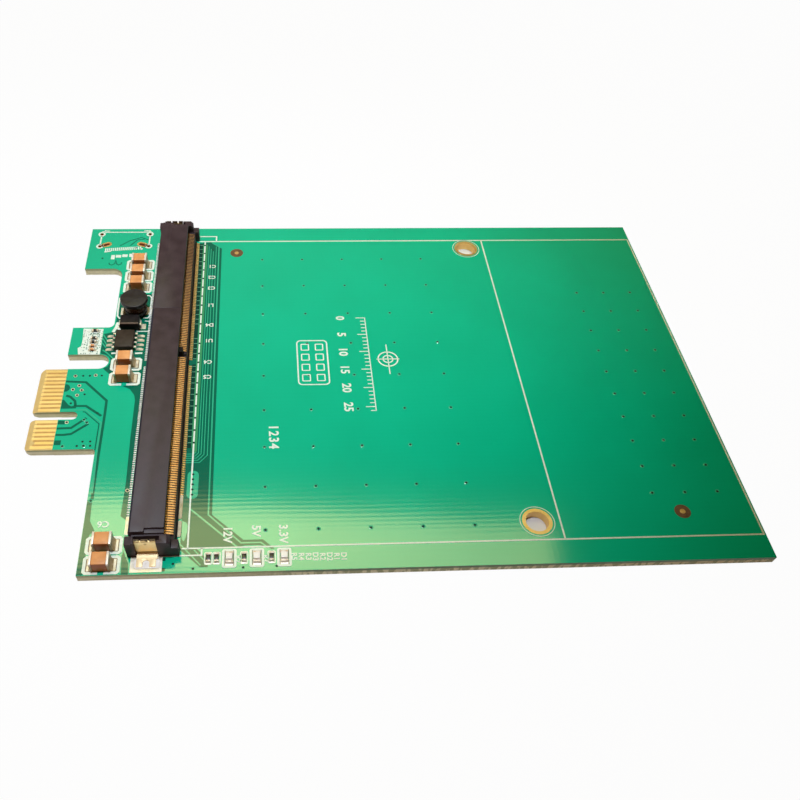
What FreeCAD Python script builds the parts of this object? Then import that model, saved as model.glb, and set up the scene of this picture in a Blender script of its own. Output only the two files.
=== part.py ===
"""Adapter card: a laminate board with an edge tab, a long module slot and its small parts.

+X runs along the card away from the edge fingers, +Y away from the front edge, +Z up.
The origin is under the middle of the card, on the plane of its lower face. Millimetres.
"""

import FreeCAD, Part
import os
import Sketcher

# Driving sizes

SIZES = {
    # Board: outline of the left side, read from the finger tips and from the front edge
    "board_length": 130.1,
    "board_thickness": 1.6,
    "tab_root": 12.9,
    "tab_inset": 4.6,
    "front_run": 26.2,
    "retention_gap": 3.95,
    "far_tab_width": 14.3,
    "notch_far_radius": 2.2,
    "notch_near_radius": 1.2,
    "root_radius": 0.7,
    "tip_radius": 1.0,
    "bare_depth": 0.06,
    # Edge fingers and the key gap between their two groups
    "near_finger_count": 7,
    "far_finger_count": 11,
    "key_finger_count": 2,
    "finger_pitch": 1.0,
    "finger_width": 0.7,
    "finger_length": 4.1,
    "finger_thickness": 0.05,
    "finger_setback": 1.1,
    "finger_margin": 0.65,
    "presence_setback": 0.7,
    "key_gap_width": 1.9,
    "key_gap_depth": 8.6,
    "key_mouth_radius": 0.5,
    "bevel_margin": 0.1,
    "bevel_depth": 0.45,
    # Plated mounting holes
    "hole_from_tip": 90.65,
    "hole_near_inset": 8.35,
    "hole_far_inset": 7.9,
    "hole_bore": 4.1,
    "ring_width": 0.6,
    # Bare holes of an outlet that is not fitted, on the far tab
    "outlet_from_end": 7.85,
    "outlet_from_far": 4.2,
    "outlet_span": 10.95,
    "outlet_depth": 4.4,
    "outlet_hole": 0.8,
    "locating_inset": 1.45,
    "locating_drop": 1.6,
    "locating_run": 0.42,
    "locating_rise": 0.18,
    # Module slot: moulded housing
    "slot_setback": 8.6,
    "slot_near_margin": 3.3,
    "slot_far_margin": 3.1,
    "slot_near_end": 2.85,
    "slot_far_end": 2.65,
    "housing_height": 5.1,
    "plate_depth": 5.8,
    "plate_lead_in": 0.4,
    "jaw_depth": 7.1,
    "slot_wall": 3.0,
    "slot_floor": 2.3,
    "slot_opening": 1.5,
    "slot_key_width": 1.2,
    "slot_key_setback": 0.4,
    "belly_clearance": 0.15,
    "beam_slit": 0.3,
    "end_block": 1.7,
    "ear_length": 0.65,
    "ear_height": 3.8,
    "column_setback": 0.5,
    "column_front": 6.75,
    "column_height": 4.2,
    "column_chamfer": 0.5,
    "foot_front": 7.9,
    "foot_height": 2.5,
    "step_start": 2.6,
    "step_length": 0.7,
    "step_drop": 0.5,
    # Module slot: spring contacts
    "near_contact_count": 82,
    "far_contact_count": 75,
    "key_contact_count": 3,
    "contact_pitch": 0.5,
    "contact_width": 0.3,
    "contact_thickness": 0.15,
    "contact_gap": 0.02,
    "contact_side_gap": 0.1,
    "beam_lift": 0.05,
    "beam_spring": 0.25,
    "beam_end_lower": 4.2,
    "beam_end_upper": 4.7,
    "tail_front": 0.53,
    "tail_back": 1.38,
    # Module slot: sheet-metal hold-downs
    "hold_down_centre": 2.7,
    "hold_down_width": 3.5,
    "hold_down_sheet": 0.25,
    "hold_down_height": 4.1,
    "hold_down_recess": 0.6,
    "hold_down_clearance": 0.05,
    "hold_down_foot_length": 2.05,
    "hold_down_bend": 0.15,
    "foot_trim": 0.3,
    "foot_gap_width": 1.1,
    "foot_gap_depth": 1.25,
    "hold_down_land_margin": 1.0,
    "hold_down_land_toe": 0.9,
    # Solder lands
    "land_thickness": 0.05,
    "land_margin": 0.05,
    # Chip capacitors
    "capacitor_length": 3.2,
    "capacitor_width": 2.5,
    "capacitor_height": 2.4,
    "capacitor_end": 0.4,
    "capacitor_toe": 1.2,
    "cap_step": 0.03,
    "bank_setback": 3.8,
    "bank_gap": 1.25,
    "bank_clearance": 3.55,
    "pair_setback": 3.45,
    "pair_gap": 1.55,
    "pair_clearance": 2.0,
    "corner_setback": 3.9,
    "corner_gap": 1.3,
    "corner_edge": 0.65,
    # Regulator with eight gull-wing leads
    "regulator_setback": 2.8,
    "regulator_offset": 3.15,
    "regulator_width": 3.9,
    "regulator_length": 4.9,
    "regulator_height": 1.4,
    "regulator_standoff": 0.15,
    "regulator_draft": 0.15,
    "regulator_pitch": 1.27,
    "regulator_lead_width": 0.42,
    "regulator_lead_sheet": 0.2,
    "regulator_knee": 0.5,
    "regulator_foot": 0.6,
    "regulator_toe": 0.7,
    # Diode with folded leads
    "diode_setback": 3.5,
    "diode_gap": 1.05,
    "diode_length": 4.0,
    "diode_width": 2.6,
    "diode_height": 2.1,
    "diode_draft": 0.15,
    "diode_lead_width": 1.4,
    "diode_lead_sheet": 0.15,
    "diode_lead_out": 0.25,
    "diode_lead_fold": 1.1,
    "diode_clearance": 0.02,
    "diode_toe": 0.8,
    # Drum inductor
    "inductor_setback": 4.2,
    "inductor_gap": 0.6,
    "inductor_diameter": 5.6,
    "inductor_height": 3.6,
    "inductor_neck": 2.6,
    "inductor_disc": 0.8,
    "inductor_base_diameter": 4.6,
    "inductor_base": 0.9,
    "winding_diameter": 4.2,
    "winding_clearance": 0.03,
    "terminal_sheet": 0.15,
    "terminal_length": 1.5,
    "terminal_width": 2.2,
    "terminal_inset": 0.1,
    "inductor_toe": 0.5,
    # Light-emitting diodes and their resistors, in a row along the front edge
    "led_row_offset": 8.2,
    "led_row_edge": 2.65,
    "led_pitch": 4.55,
    "led_length": 2.0,
    "led_width": 1.25,
    "led_end": 0.35,
    "led_base_height": 0.4,
    "led_lens_height": 0.4,
    "led_lens_length": 1.2,
    "led_lens_taper": 8,
    "led_toe": 0.5,
    "led_resistor_offset": 2.1,
    "spare_resistor_offset": 1.35,
    "resistor_length": 1.6,
    "resistor_width": 0.8,
    "resistor_height": 0.45,
    "resistor_end": 0.3,
    "resistor_toe": 0.3,
    # Small chips in rows across the small tab
    "chip_row_count": 6,
    "chip_setback": 4.7,
    "chip_pitch": 1.1,
    "chip_margin": 1.175,
    "chip_length": 1.1,
    "chip_width": 0.55,
    "chip_height": 0.5,
    "chip_end": 0.25,
    "chip_toe": 0.3,
}

# Places that follow from the driving sizes

PLACES = {
    "left": "=-Sizes.board_length / 2",
    "right": "=Sizes.board_length / 2",
    "contact_span": "=(Sizes.near_contact_count + Sizes.key_contact_count + Sizes.far_contact_count - 1)"
                    " * Sizes.contact_pitch",
    "slot_length": "=contact_span + Sizes.slot_near_end + Sizes.slot_far_end",
    "board_width": "=slot_length + Sizes.slot_near_margin + Sizes.slot_far_margin",
    "front": "=-board_width / 2",
    "far": "=board_width / 2",
    "root": "=left + Sizes.tab_root",
    "tab_end": "=left + Sizes.tab_inset",
    "finger_near": "=front + Sizes.front_run",
    "finger_span": "=(Sizes.near_finger_count + Sizes.key_finger_count + Sizes.far_finger_count - 1)"
                   " * Sizes.finger_pitch",
    "finger_far": "=finger_near + finger_span + 2 * Sizes.finger_margin",
    "finger_first": "=finger_near + Sizes.finger_margin",
    "finger_start": "=left + Sizes.finger_setback",
    "finger_end": "=finger_start + Sizes.finger_length",
    "bevel_end": "=finger_start - Sizes.bevel_margin",
    "key_centre": "=finger_first + (Sizes.near_finger_count - 1 + (Sizes.key_finger_count + 1) / 2)"
                  " * Sizes.finger_pitch",
    "key_round": "=left + Sizes.key_gap_depth - Sizes.key_gap_width / 2",
    "retention_round": "=root - Sizes.retention_gap / 2",
    "retention_centre": "=finger_far + Sizes.retention_gap / 2",
    "small_near": "=finger_far + Sizes.retention_gap",
    "small_far": "=small_near + (Sizes.chip_row_count - 1) * Sizes.chip_pitch + 2 * Sizes.chip_margin",
    "notch_far": "=far - Sizes.far_tab_width",
    "bare_top": "=Sizes.board_thickness - Sizes.bare_depth",
    "deck": "=Sizes.board_thickness + Sizes.land_thickness",
    "hole_x": "=left + Sizes.hole_from_tip",
    "hole_near_y": "=front + Sizes.hole_near_inset",
    "hole_far_y": "=far - Sizes.hole_far_inset",
    "outlet_x": "=tab_end + Sizes.outlet_from_end",
    "outlet_y": "=far - Sizes.outlet_from_far",
    "slot_x": "=root + Sizes.slot_setback",
    "slot_y": "=front + Sizes.slot_near_margin",
    "slot_roof": "=Sizes.slot_floor + Sizes.slot_opening",
    "slot_key_y": "=Sizes.slot_near_end + (Sizes.near_contact_count - 1 + (Sizes.key_contact_count + 1) / 2)"
                  " * Sizes.contact_pitch",
    "far_block_y": "=slot_length - Sizes.end_block",
    "near_group_end": "=Sizes.slot_near_end + (Sizes.near_contact_count - 1) * Sizes.contact_pitch",
    "far_group_start": "=Sizes.slot_near_end + (Sizes.near_contact_count + Sizes.key_contact_count)"
                       " * Sizes.contact_pitch",
    "far_group_end": "=Sizes.slot_near_end + contact_span",
    "slit_side": "=Sizes.contact_width / 2 + Sizes.contact_side_gap",
    "hold_down_x": "=slot_x + Sizes.hold_down_centre",
    "hold_down_top": "=Sizes.land_thickness + Sizes.hold_down_sheet",
    "regulator_x": "=root + Sizes.regulator_setback",
    "regulator_y": "=small_near + Sizes.regulator_offset",
    "pair_x": "=root + Sizes.pair_setback",
    "pair_far_y": "=regulator_y - Sizes.regulator_length / 2 - Sizes.pair_clearance"
                  " - Sizes.capacitor_width / 2",
    "pair_near_y": "=pair_far_y - Sizes.capacitor_width - Sizes.pair_gap",
    "diode_x": "=root + Sizes.diode_setback",
    "diode_y": "=regulator_y + Sizes.regulator_length / 2 + Sizes.diode_gap + Sizes.diode_width / 2",
    "diode_floor": "=Sizes.diode_lead_sheet + Sizes.diode_clearance",
    "diode_middle": "=(diode_floor + Sizes.diode_height) / 2",
    "inductor_x": "=root + Sizes.inductor_setback",
    "inductor_y": "=diode_y + Sizes.diode_width / 2 + Sizes.inductor_gap + Sizes.inductor_diameter / 2",
    "bank_x": "=root + Sizes.bank_setback",
    "bank_near_y": "=inductor_y + Sizes.inductor_diameter / 2 + Sizes.bank_clearance"
                   " + Sizes.capacitor_width / 2",
    "bank_middle_y": "=bank_near_y + Sizes.capacitor_width + Sizes.bank_gap",
    "bank_far_y": "=bank_middle_y + Sizes.capacitor_width + Sizes.bank_gap",
    "corner_x": "=root + Sizes.corner_setback",
    "corner_near_y": "=front + Sizes.corner_edge + Sizes.capacitor_width / 2",
    "corner_far_y": "=corner_near_y + Sizes.capacitor_width + Sizes.corner_gap",
    "led_x": "=slot_x + Sizes.foot_front + Sizes.led_row_offset",
    "led_y": "=front + Sizes.led_row_edge",
    "chip_x": "=tab_end + Sizes.chip_setback",
    "chip_y": "=small_near + Sizes.chip_margin",
}

doc = FreeCAD.newDocument("adapter_card")


def fill_sheet(name, cells):
    """Makes a sheet whose cells carry the given aliases."""
    new_sheet = doc.addObject("Spreadsheet::Sheet", name)
    for row, (alias, text) in enumerate(cells.items(), start=1):
        new_sheet.set(f"A{row}", str(text))
        new_sheet.setAlias(f"A{row}", alias)
    doc.recompute()
    return new_sheet


sheet = fill_sheet("Sizes", SIZES)
places = fill_sheet("Places", PLACES)
subparts = []


def size(alias):
    """Reads a driving size."""
    return float(sheet.get(alias))


def spot(alias):
    """Reads a place that follows from the sizes."""
    return float(places.get(alias))


def value(expression):
    """Works out an expression as a plain number."""
    return float(sheet.evalExpression(expression))


def keep(piece, label):
    """Names a finished sub-part."""
    piece.Label = label
    subparts.append(piece)
    return piece


def place(piece, x, y, z):
    """Ties a piece's position to expressions."""
    piece.setExpression("Placement.Base.x", x)
    piece.setExpression("Placement.Base.y", y)
    piece.setExpression("Placement.Base.z", z)


# Sketches, pads and pockets

def new_sketch(body, name, role, offset=None):
    """Starts a sketch on one of the body's origin planes, raised along its normal."""
    sketch = body.newObject("Sketcher::SketchObject", name)
    plane = [feature for feature in body.Origin.OriginFeatures if feature.Role == role]
    sketch.AttachmentSupport = [(plane[0], "")]
    sketch.MapMode = "FlatFace"
    if offset is not None:
        sketch.setExpression("AttachmentOffset.Base.z", offset)
    return sketch


def fix_point(sketch, geometry, point, x, y):
    """Ties a sketch point to a pair of expressions."""
    for direction, expression in (("DistanceX", x), ("DistanceY", y)):
        rule = Sketcher.Constraint(direction, -1, 1, geometry, point, value(expression))
        datum = sketch.addConstraint(rule)
        sketch.setExpression(f"Constraints[{datum}]", expression)


def add_outline(sketch, corners):
    """Draws a closed straight-sided outline through pairs of expressions."""
    points = [FreeCAD.Vector(value(x), value(y), 0) for x, y in corners]
    ends = points[1:] + points[:1]
    lines = [sketch.addGeometry(Part.LineSegment(a, b), False) for a, b in zip(points, ends)]
    for line, following in zip(lines, lines[1:] + lines[:1]):
        sketch.addConstraint(Sketcher.Constraint("Coincident", line, 2, following, 1))
    for line, (x, y) in zip(lines, corners):
        fix_point(sketch, line, 1, x, y)


def add_rectangle(sketch, x_low, x_high, y_low, y_high):
    """Draws a rectangle between expressions."""
    add_outline(sketch, [(x_low, y_low), (x_high, y_low), (x_high, y_high), (x_low, y_high)])


def add_circle(sketch, x, y, radius):
    """Draws a circle whose centre and radius are expressions."""
    centre = FreeCAD.Vector(value(x), value(y), 0)
    circle = sketch.addGeometry(Part.Circle(centre, FreeCAD.Vector(0, 0, 1), value(radius)), False)
    fix_point(sketch, circle, 3, x, y)
    datum = sketch.addConstraint(Sketcher.Constraint("Radius", circle, value(radius)))
    sketch.setExpression(f"Constraints[{datum}]", radius)


def extrude(body, kind, sketch, length=None, side="One side", reverse=False):
    """Pads or pockets a sketch, through everything when no length is given."""
    feature = body.newObject(f"PartDesign::{kind}", f"{sketch.Name}_{kind}")
    feature.Profile = sketch
    feature.SideType = side
    feature.Reversed = reverse
    if length is None:
        feature.Type = "ThroughAll"
    else:
        feature.setExpression("Length", length)
    doc.recompute()
    return feature


def matching_edges(shape, fits):
    """Names the straight edges whose two ends both fit."""
    names = []
    for number, edge in enumerate(shape.Edges, start=1):
        if len(edge.Vertexes) == 2 and all(fits(vertex.Point) for vertex in edge.Vertexes):
            names.append(f"Edge{number}")
    return names


def near(first, second):
    """Says whether two lengths agree."""
    return abs(first - second) < 1e-4


def round_edges(body, name, radius, fits):
    """Rounds the edges of a body whose ends fit."""
    base = body.Tip
    fillet = body.newObject("PartDesign::Fillet", name)
    fillet.Base = (base, matching_edges(base.Shape, fits))
    fillet.setExpression("Radius", radius)
    doc.recompute()
    return fillet


def new_box(name, x, y, z, length, width, height):
    """Makes a block between expressions, from its low corner."""
    block = doc.addObject("Part::Box", name)
    block.setExpression("Length", length)
    block.setExpression("Width", width)
    block.setExpression("Height", height)
    place(block, x, y, z)
    return block


def new_group(label, pieces):
    """Keeps several separate solids as one sub-part."""
    group = doc.addObject("Part::Compound", label)
    group.Links = pieces
    return keep(group, label)


def strip(profile, width):
    """Makes a bent strip from its side view in X and Z, half its width each way in Y."""
    corners = [FreeCAD.Vector(x, -width / 2, z) for x, z in profile]
    face = Part.Face(Part.makePolygon(corners + corners[:1]))
    return face.extrude(FreeCAD.Vector(0, width, 0))


def mirrored(profile):
    """Turns a side view left for right."""
    return [(-x, z) for x, z in profile]


def new_strips(label, solids, x, y, z):
    """Keeps ready-made strips as one sub-part at a place given by expressions."""
    feature = doc.addObject("Part::Feature", label)
    feature.Shape = Part.makeCompound(solids)
    place(feature, x, y, z)
    return keep(feature, label)


# Circuit board

def make_circuit_board():
    """Routed laminate panel: tabs and gaps on the left, holes, and bare strips for the fingers."""
    body = doc.addObject("PartDesign::Body", "circuit_board")
    keep(body, "circuit_board")
    outline = new_sketch(body, "board_outline", "XY_Plane")
    add_outline(outline, [
        ("Places.root", "Places.front"),
        ("Places.right", "Places.front"),
        ("Places.right", "Places.far"),
        ("Places.tab_end", "Places.far"),
        ("Places.tab_end", "Places.notch_far"),
        ("Places.root", "Places.notch_far"),
        ("Places.root", "Places.small_far"),
        ("Places.tab_end", "Places.small_far"),
        ("Places.tab_end", "Places.small_near"),
        ("Places.retention_round", "Places.small_near"),
        ("Places.retention_round", "Places.finger_far"),
        ("Places.left", "Places.finger_far"),
        ("Places.left", "Places.finger_near"),
        ("Places.root", "Places.finger_near"),
    ])
    extrude(body, "Pad", outline, "Sizes.board_thickness")

    key = new_sketch(body, "key_gap", "XY_Plane")
    add_rectangle(key, "Places.left - Sizes.key_gap_width", "Places.key_round",
                  "Places.key_centre - Sizes.key_gap_width / 2",
                  "Places.key_centre + Sizes.key_gap_width / 2")
    extrude(body, "Pocket", key, reverse=True)
    rounds = new_sketch(body, "gap_rounds", "XY_Plane")
    add_circle(rounds, "Places.key_round", "Places.key_centre", "Sizes.key_gap_width / 2")
    add_circle(rounds, "Places.retention_round", "Places.retention_centre",
               "Sizes.retention_gap / 2")
    extrude(body, "Pocket", rounds, reverse=True)

    corners = (
        ("notch_far_round", "Sizes.notch_far_radius", spot("root"), [spot("notch_far")]),
        ("notch_near_round", "Sizes.notch_near_radius", spot("root"), [spot("small_far")]),
        ("root_round", "Sizes.root_radius", spot("root"), [spot("finger_near")]),
        ("tip_rounds", "Sizes.tip_radius", spot("left"),
         [spot("finger_near"), spot("finger_far")]),
        ("key_mouth_rounds", "Sizes.key_mouth_radius", spot("left"),
         [spot("key_centre") - size("key_gap_width") / 2,
          spot("key_centre") + size("key_gap_width") / 2]),
    )
    for name, radius, x, y_places in corners:
        round_edges(body, name, radius, lambda point: near(point.x, x) and any(
            near(point.y, y) for y in y_places))

    holes = new_sketch(body, "mounting_holes", "XY_Plane")
    for y in ("Places.hole_near_y", "Places.hole_far_y"):
        add_circle(holes, "Places.hole_x", y, "Sizes.hole_bore / 2")
    extrude(body, "Pocket", holes, reverse=True)

    for face, level, reverse in (("upper", "Sizes.board_thickness", False), ("lower", "0", True)):
        bare = new_sketch(body, f"{face}_bare_faces", "XY_Plane", level)
        add_rectangle(bare, "Places.left", "Places.finger_end",
                      "Places.finger_near", "Places.finger_far")
        extrude(body, "Pocket", bare, "Sizes.bare_depth", reverse=reverse)

    bevel = new_sketch(body, "tip_bevel", "XZ_Plane")
    add_outline(bevel, [("Places.left", "Places.bare_top - Sizes.bevel_depth"),
                        ("Places.bevel_end", "Places.bare_top"),
                        ("Places.left", "Sizes.board_thickness")])
    add_outline(bevel, [("Places.left", "0"),
                        ("Places.bevel_end", "Sizes.bare_depth"),
                        ("Places.left", "Sizes.bare_depth + Sizes.bevel_depth")])
    extrude(body, "Pocket", bevel, side="Symmetric")

    outlet = new_sketch(body, "outlet_slots", "XY_Plane")
    ends = new_sketch(body, "outlet_holes", "XY_Plane")
    radius = "Sizes.outlet_hole / 2"
    run = "sqrt(Sizes.locating_run ^ 2 + Sizes.locating_rise ^ 2)"
    low = "Places.outlet_y - Sizes.outlet_depth / 2"
    for sign in ("-", "+"):
        post = f"Places.outlet_x {sign} Sizes.outlet_span / 2"
        add_circle(ends, post, low, radius)
        add_circle(ends, post, "Places.outlet_y + Sizes.outlet_depth / 2", radius)
        x = f"Places.outlet_x {sign} (Sizes.outlet_span / 2 - Sizes.locating_inset)"
        y = "Places.outlet_y - Sizes.locating_drop"
        turn = "+" if sign == "-" else "-"
        back = "-" if turn == "+" else "+"
        first = (f"{x} - Sizes.locating_run", f"{y} {back} Sizes.locating_rise")
        last = (f"{x} + Sizes.locating_run", f"{y} {turn} Sizes.locating_rise")
        side_x = f"{radius} * Sizes.locating_rise / {run}"
        side_y = f"{radius} * Sizes.locating_run / {run}"
        add_outline(outlet, [
            (f"{first[0]} {turn} {side_x}", f"{first[1]} - {side_y}"),
            (f"{last[0]} {turn} {side_x}", f"{last[1]} - {side_y}"),
            (f"{last[0]} {back} {side_x}", f"{last[1]} + {side_y}"),
            (f"{first[0]} {back} {side_x}", f"{first[1]} + {side_y}"),
        ])
        add_circle(ends, *first, radius)
        add_circle(ends, *last, radius)
    extrude(body, "Pocket", outlet, reverse=True)
    extrude(body, "Pocket", ends, reverse=True)


def make_edge_fingers(label, level, short_position):
    """Gold contact pads of one face, with the key gap left out and one pad set back."""
    fingers = []
    positions = size("near_finger_count") + size("key_finger_count") + size("far_finger_count")
    gap = range(int(size("near_finger_count")), int(size("near_finger_count") + size("key_finger_count")))
    for position in range(int(positions)):
        if position in gap:
            continue
        setback = "Sizes.presence_setback" if position == short_position else "0"
        fingers.append(new_box(
            f"{label}_{position}", f"Places.finger_start + {setback}",
            f"Places.finger_first + {position} * Sizes.finger_pitch - Sizes.finger_width / 2",
            level, f"Sizes.finger_length - {setback}", "Sizes.finger_width",
            "Sizes.finger_thickness"))
    new_group(label, fingers)


def make_hole_rings():
    """Gold rings round the mounting holes, plated on the upper face."""
    rings = []
    for name, y in (("near", "Places.hole_near_y"), ("far", "Places.hole_far_y")):
        rounds = []
        for edge, radius in (("outer", "Sizes.hole_bore / 2 + Sizes.ring_width"),
                             ("bore", "Sizes.hole_bore / 2")):
            disc = doc.addObject("Part::Cylinder", f"{name}_ring_{edge}")
            disc.setExpression("Radius", radius)
            disc.setExpression("Height", "Sizes.land_thickness")
            place(disc, "Places.hole_x", y, "Sizes.board_thickness")
            rounds.append(disc)
        ring = doc.addObject("Part::Cut", f"{name}_ring")
        ring.Base, ring.Tool = rounds
        rings.append(ring)
    new_group("hole_rings", rings)


# Module slot

def make_slot_housing():
    """Black moulding: two jaws round the module slot, closed by an end block at each end."""
    body = doc.addObject("PartDesign::Body", "slot_housing")
    keep(body, "slot_housing")
    place(body, "Places.slot_x", "Places.slot_y", "Sizes.board_thickness")

    section = new_sketch(body, "jaw_section", "XZ_Plane", "-Sizes.end_block")
    add_outline(section, [
        ("0", "0"),
        ("Sizes.jaw_depth", "0"),
        ("Sizes.jaw_depth", "Sizes.slot_floor"),
        ("Sizes.slot_wall", "Sizes.slot_floor"),
        ("Sizes.slot_wall", "Places.slot_roof"),
        ("Sizes.plate_depth - Sizes.plate_lead_in", "Places.slot_roof"),
        ("Sizes.plate_depth", "Places.slot_roof + Sizes.plate_lead_in"),
        ("Sizes.plate_depth", "Sizes.housing_height"),
        ("0", "Sizes.housing_height"),
    ])
    extrude(body, "Pad", section, "Places.slot_length - 2 * Sizes.end_block", reverse=True)

    for name, offset in (("near_block", "0"), ("far_block", "-Places.far_block_y")):
        block = new_sketch(body, name, "XZ_Plane", offset)
        add_outline(block, [
            ("-Sizes.ear_length", "0"),
            ("Sizes.foot_front", "0"),
            ("Sizes.foot_front", "Sizes.foot_height"),
            ("Sizes.column_front", "Sizes.foot_height"),
            ("Sizes.column_front", "Sizes.column_height - Sizes.column_chamfer"),
            ("Sizes.column_front - Sizes.column_chamfer", "Sizes.column_height"),
            ("Sizes.column_setback", "Sizes.column_height"),
            ("Sizes.column_setback", "Sizes.ear_height"),
            ("-Sizes.ear_length", "Sizes.ear_height"),
        ])
        extrude(body, "Pad", block, "Sizes.end_block", reverse=True)

    key = new_sketch(body, "slot_key", "XY_Plane", "Sizes.slot_floor")
    add_rectangle(key, "Sizes.slot_wall",
                  "Sizes.plate_depth - Sizes.plate_lead_in - Sizes.slot_key_setback",
                  "Places.slot_key_y - Sizes.slot_key_width / 2",
                  "Places.slot_key_y + Sizes.slot_key_width / 2")
    extrude(body, "Pad", key, "Sizes.slot_opening")

    belly = new_sketch(body, "belly", "XY_Plane")
    add_rectangle(belly, "0", "Sizes.jaw_depth", "Sizes.end_block", "Places.far_block_y")
    extrude(body, "Pocket", belly, "Sizes.belly_clearance", reverse=True)

    steps = new_sketch(body, "plate_steps", "XY_Plane", "Sizes.housing_height")
    recesses = new_sketch(body, "hold_down_recesses", "XY_Plane")
    half = "(Sizes.hold_down_width / 2 + Sizes.hold_down_clearance)"
    for low, high, edge, inner in (
            ("Sizes.end_block", "Sizes.end_block + Sizes.step_length",
             "0", "Sizes.hold_down_recess"),
            ("Places.far_block_y - Sizes.step_length", "Places.far_block_y",
             "Places.slot_length - Sizes.hold_down_recess", "Places.slot_length")):
        add_rectangle(steps, "Sizes.step_start", "Sizes.plate_depth", low, high)
        add_rectangle(recesses, f"Sizes.hold_down_centre - {half}",
                      f"Sizes.hold_down_centre + {half}", edge, inner)
    extrude(body, "Pocket", steps, "Sizes.step_drop")
    extrude(body, "Pocket", recesses, reverse=True)

    slits = new_sketch(body, "beam_slits", "YZ_Plane")
    for low, high in (("Sizes.slot_near_end", "Places.near_group_end"),
                      ("Places.far_group_start", "Places.far_group_end")):
        add_rectangle(slits, f"{low} - Places.slit_side", f"{high} + Places.slit_side",
                      "Places.slot_roof - Sizes.beam_slit", "Places.slot_roof")
    extrude(body, "Pocket", slits, "Sizes.slot_wall", reverse=True)


def make_slot_contacts():
    """Two rows of spring strips: tail on the board, riser on a jaw's face, beam in the slot."""
    sheet_metal = size("contact_thickness")
    front_inner = size("jaw_depth") + size("contact_gap")
    front_outer = front_inner + sheet_metal
    floor = size("slot_floor") + size("beam_lift")
    lower = strip([
        (front_outer + size("tail_front"), 0),
        (front_outer, floor + sheet_metal),
        (size("beam_end_lower"), floor + size("beam_spring")),
        (front_inner, floor),
        (front_inner, 0),
    ], size("contact_width"))

    back_inner = -size("contact_gap")
    back_outer = back_inner - sheet_metal
    roof = spot("slot_roof") - size("beam_lift")
    upper = strip([
        (back_outer - size("tail_back"), 0),
        (back_inner, 0),
        (back_inner, roof - sheet_metal),
        (size("beam_end_upper"), roof - size("beam_spring")),
        (back_outer, roof),
        (back_outer, sheet_metal),
    ], size("contact_width"))

    near_count = int(size("near_contact_count"))
    far_start = near_count + int(size("key_contact_count"))
    positions = list(range(near_count))
    positions += range(far_start, far_start + int(size("far_contact_count")))
    for label, contact in (("slot_contacts_lower", lower), ("slot_contacts_upper", upper)):
        row = []
        for position in positions:
            y = size("slot_near_end") + position * size("contact_pitch")
            row.append(contact.translated(FreeCAD.Vector(0, y, 0)))
        new_strips(label, row, "Places.slot_x", "Places.slot_y", "Sizes.board_thickness")


def make_hold_down(label, y, turn):
    """Bent sheet that stands in an end block's recess, with a forked foot soldered to the board."""
    body = doc.addObject("PartDesign::Body", label)
    keep(body, label)
    body.Placement = FreeCAD.Placement(FreeCAD.Vector(), FreeCAD.Rotation(turn, 0, 0))
    place(body, "Places.hold_down_x", y, "Sizes.board_thickness")
    outer = "Sizes.hold_down_recess - Sizes.hold_down_sheet"
    profile = new_sketch(body, f"{label}_profile", "YZ_Plane")
    add_outline(profile, [
        ("Sizes.hold_down_recess", "Sizes.land_thickness"),
        ("Sizes.hold_down_recess", "Sizes.hold_down_height"),
        (outer, "Sizes.hold_down_height"),
        (outer, "Places.hold_down_top"),
        ("-Sizes.hold_down_foot_length", "Places.hold_down_top"),
        ("-Sizes.hold_down_foot_length", "Sizes.land_thickness"),
    ])
    extrude(body, "Pad", profile, "Sizes.hold_down_width", side="Symmetric")
    bends = (("inner_bend", "Sizes.hold_down_bend", value(outer), spot("hold_down_top")),
             ("outer_bend", "Sizes.hold_down_bend + Sizes.hold_down_sheet",
              size("hold_down_recess"), size("land_thickness")))
    for name, radius, bend_y, bend_z in bends:
        round_edges(body, f"{label}_{name}", radius,
                    lambda point: near(point.y, bend_y) and near(point.z, bend_z))
    fork = new_sketch(body, f"{label}_fork", "XY_Plane")
    half = "Sizes.foot_gap_width / 2"
    inner = f"{half} - Sizes.hold_down_foot_length + Sizes.foot_gap_depth - Sizes.foot_gap_width"
    add_rectangle(fork, f"-{half} - Sizes.foot_trim / 2", f"{half} - Sizes.foot_trim / 2",
                  "-Sizes.hold_down_foot_length", inner)
    add_rectangle(fork, "Sizes.hold_down_width / 2 - Sizes.foot_trim", "Sizes.hold_down_width / 2",
                  "-Sizes.hold_down_foot_length", "0")
    extrude(body, "Pocket", fork, "Places.hold_down_top", reverse=True)
    fork_end = new_sketch(body, f"{label}_fork_end", "XY_Plane")
    add_circle(fork_end, "-Sizes.foot_trim / 2", inner, half)
    extrude(body, "Pocket", fork_end, "Places.hold_down_top", reverse=True)


# Two-ended chip parts and the lands that they stand on

lands = []


def add_land(x_low, y_low, length, width):
    """Lays a tinned land on the board's upper face."""
    lands.append(new_box(f"land_{len(lands)}", x_low, y_low, "Sizes.board_thickness",
                         length, width, "Sizes.land_thickness"))


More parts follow.
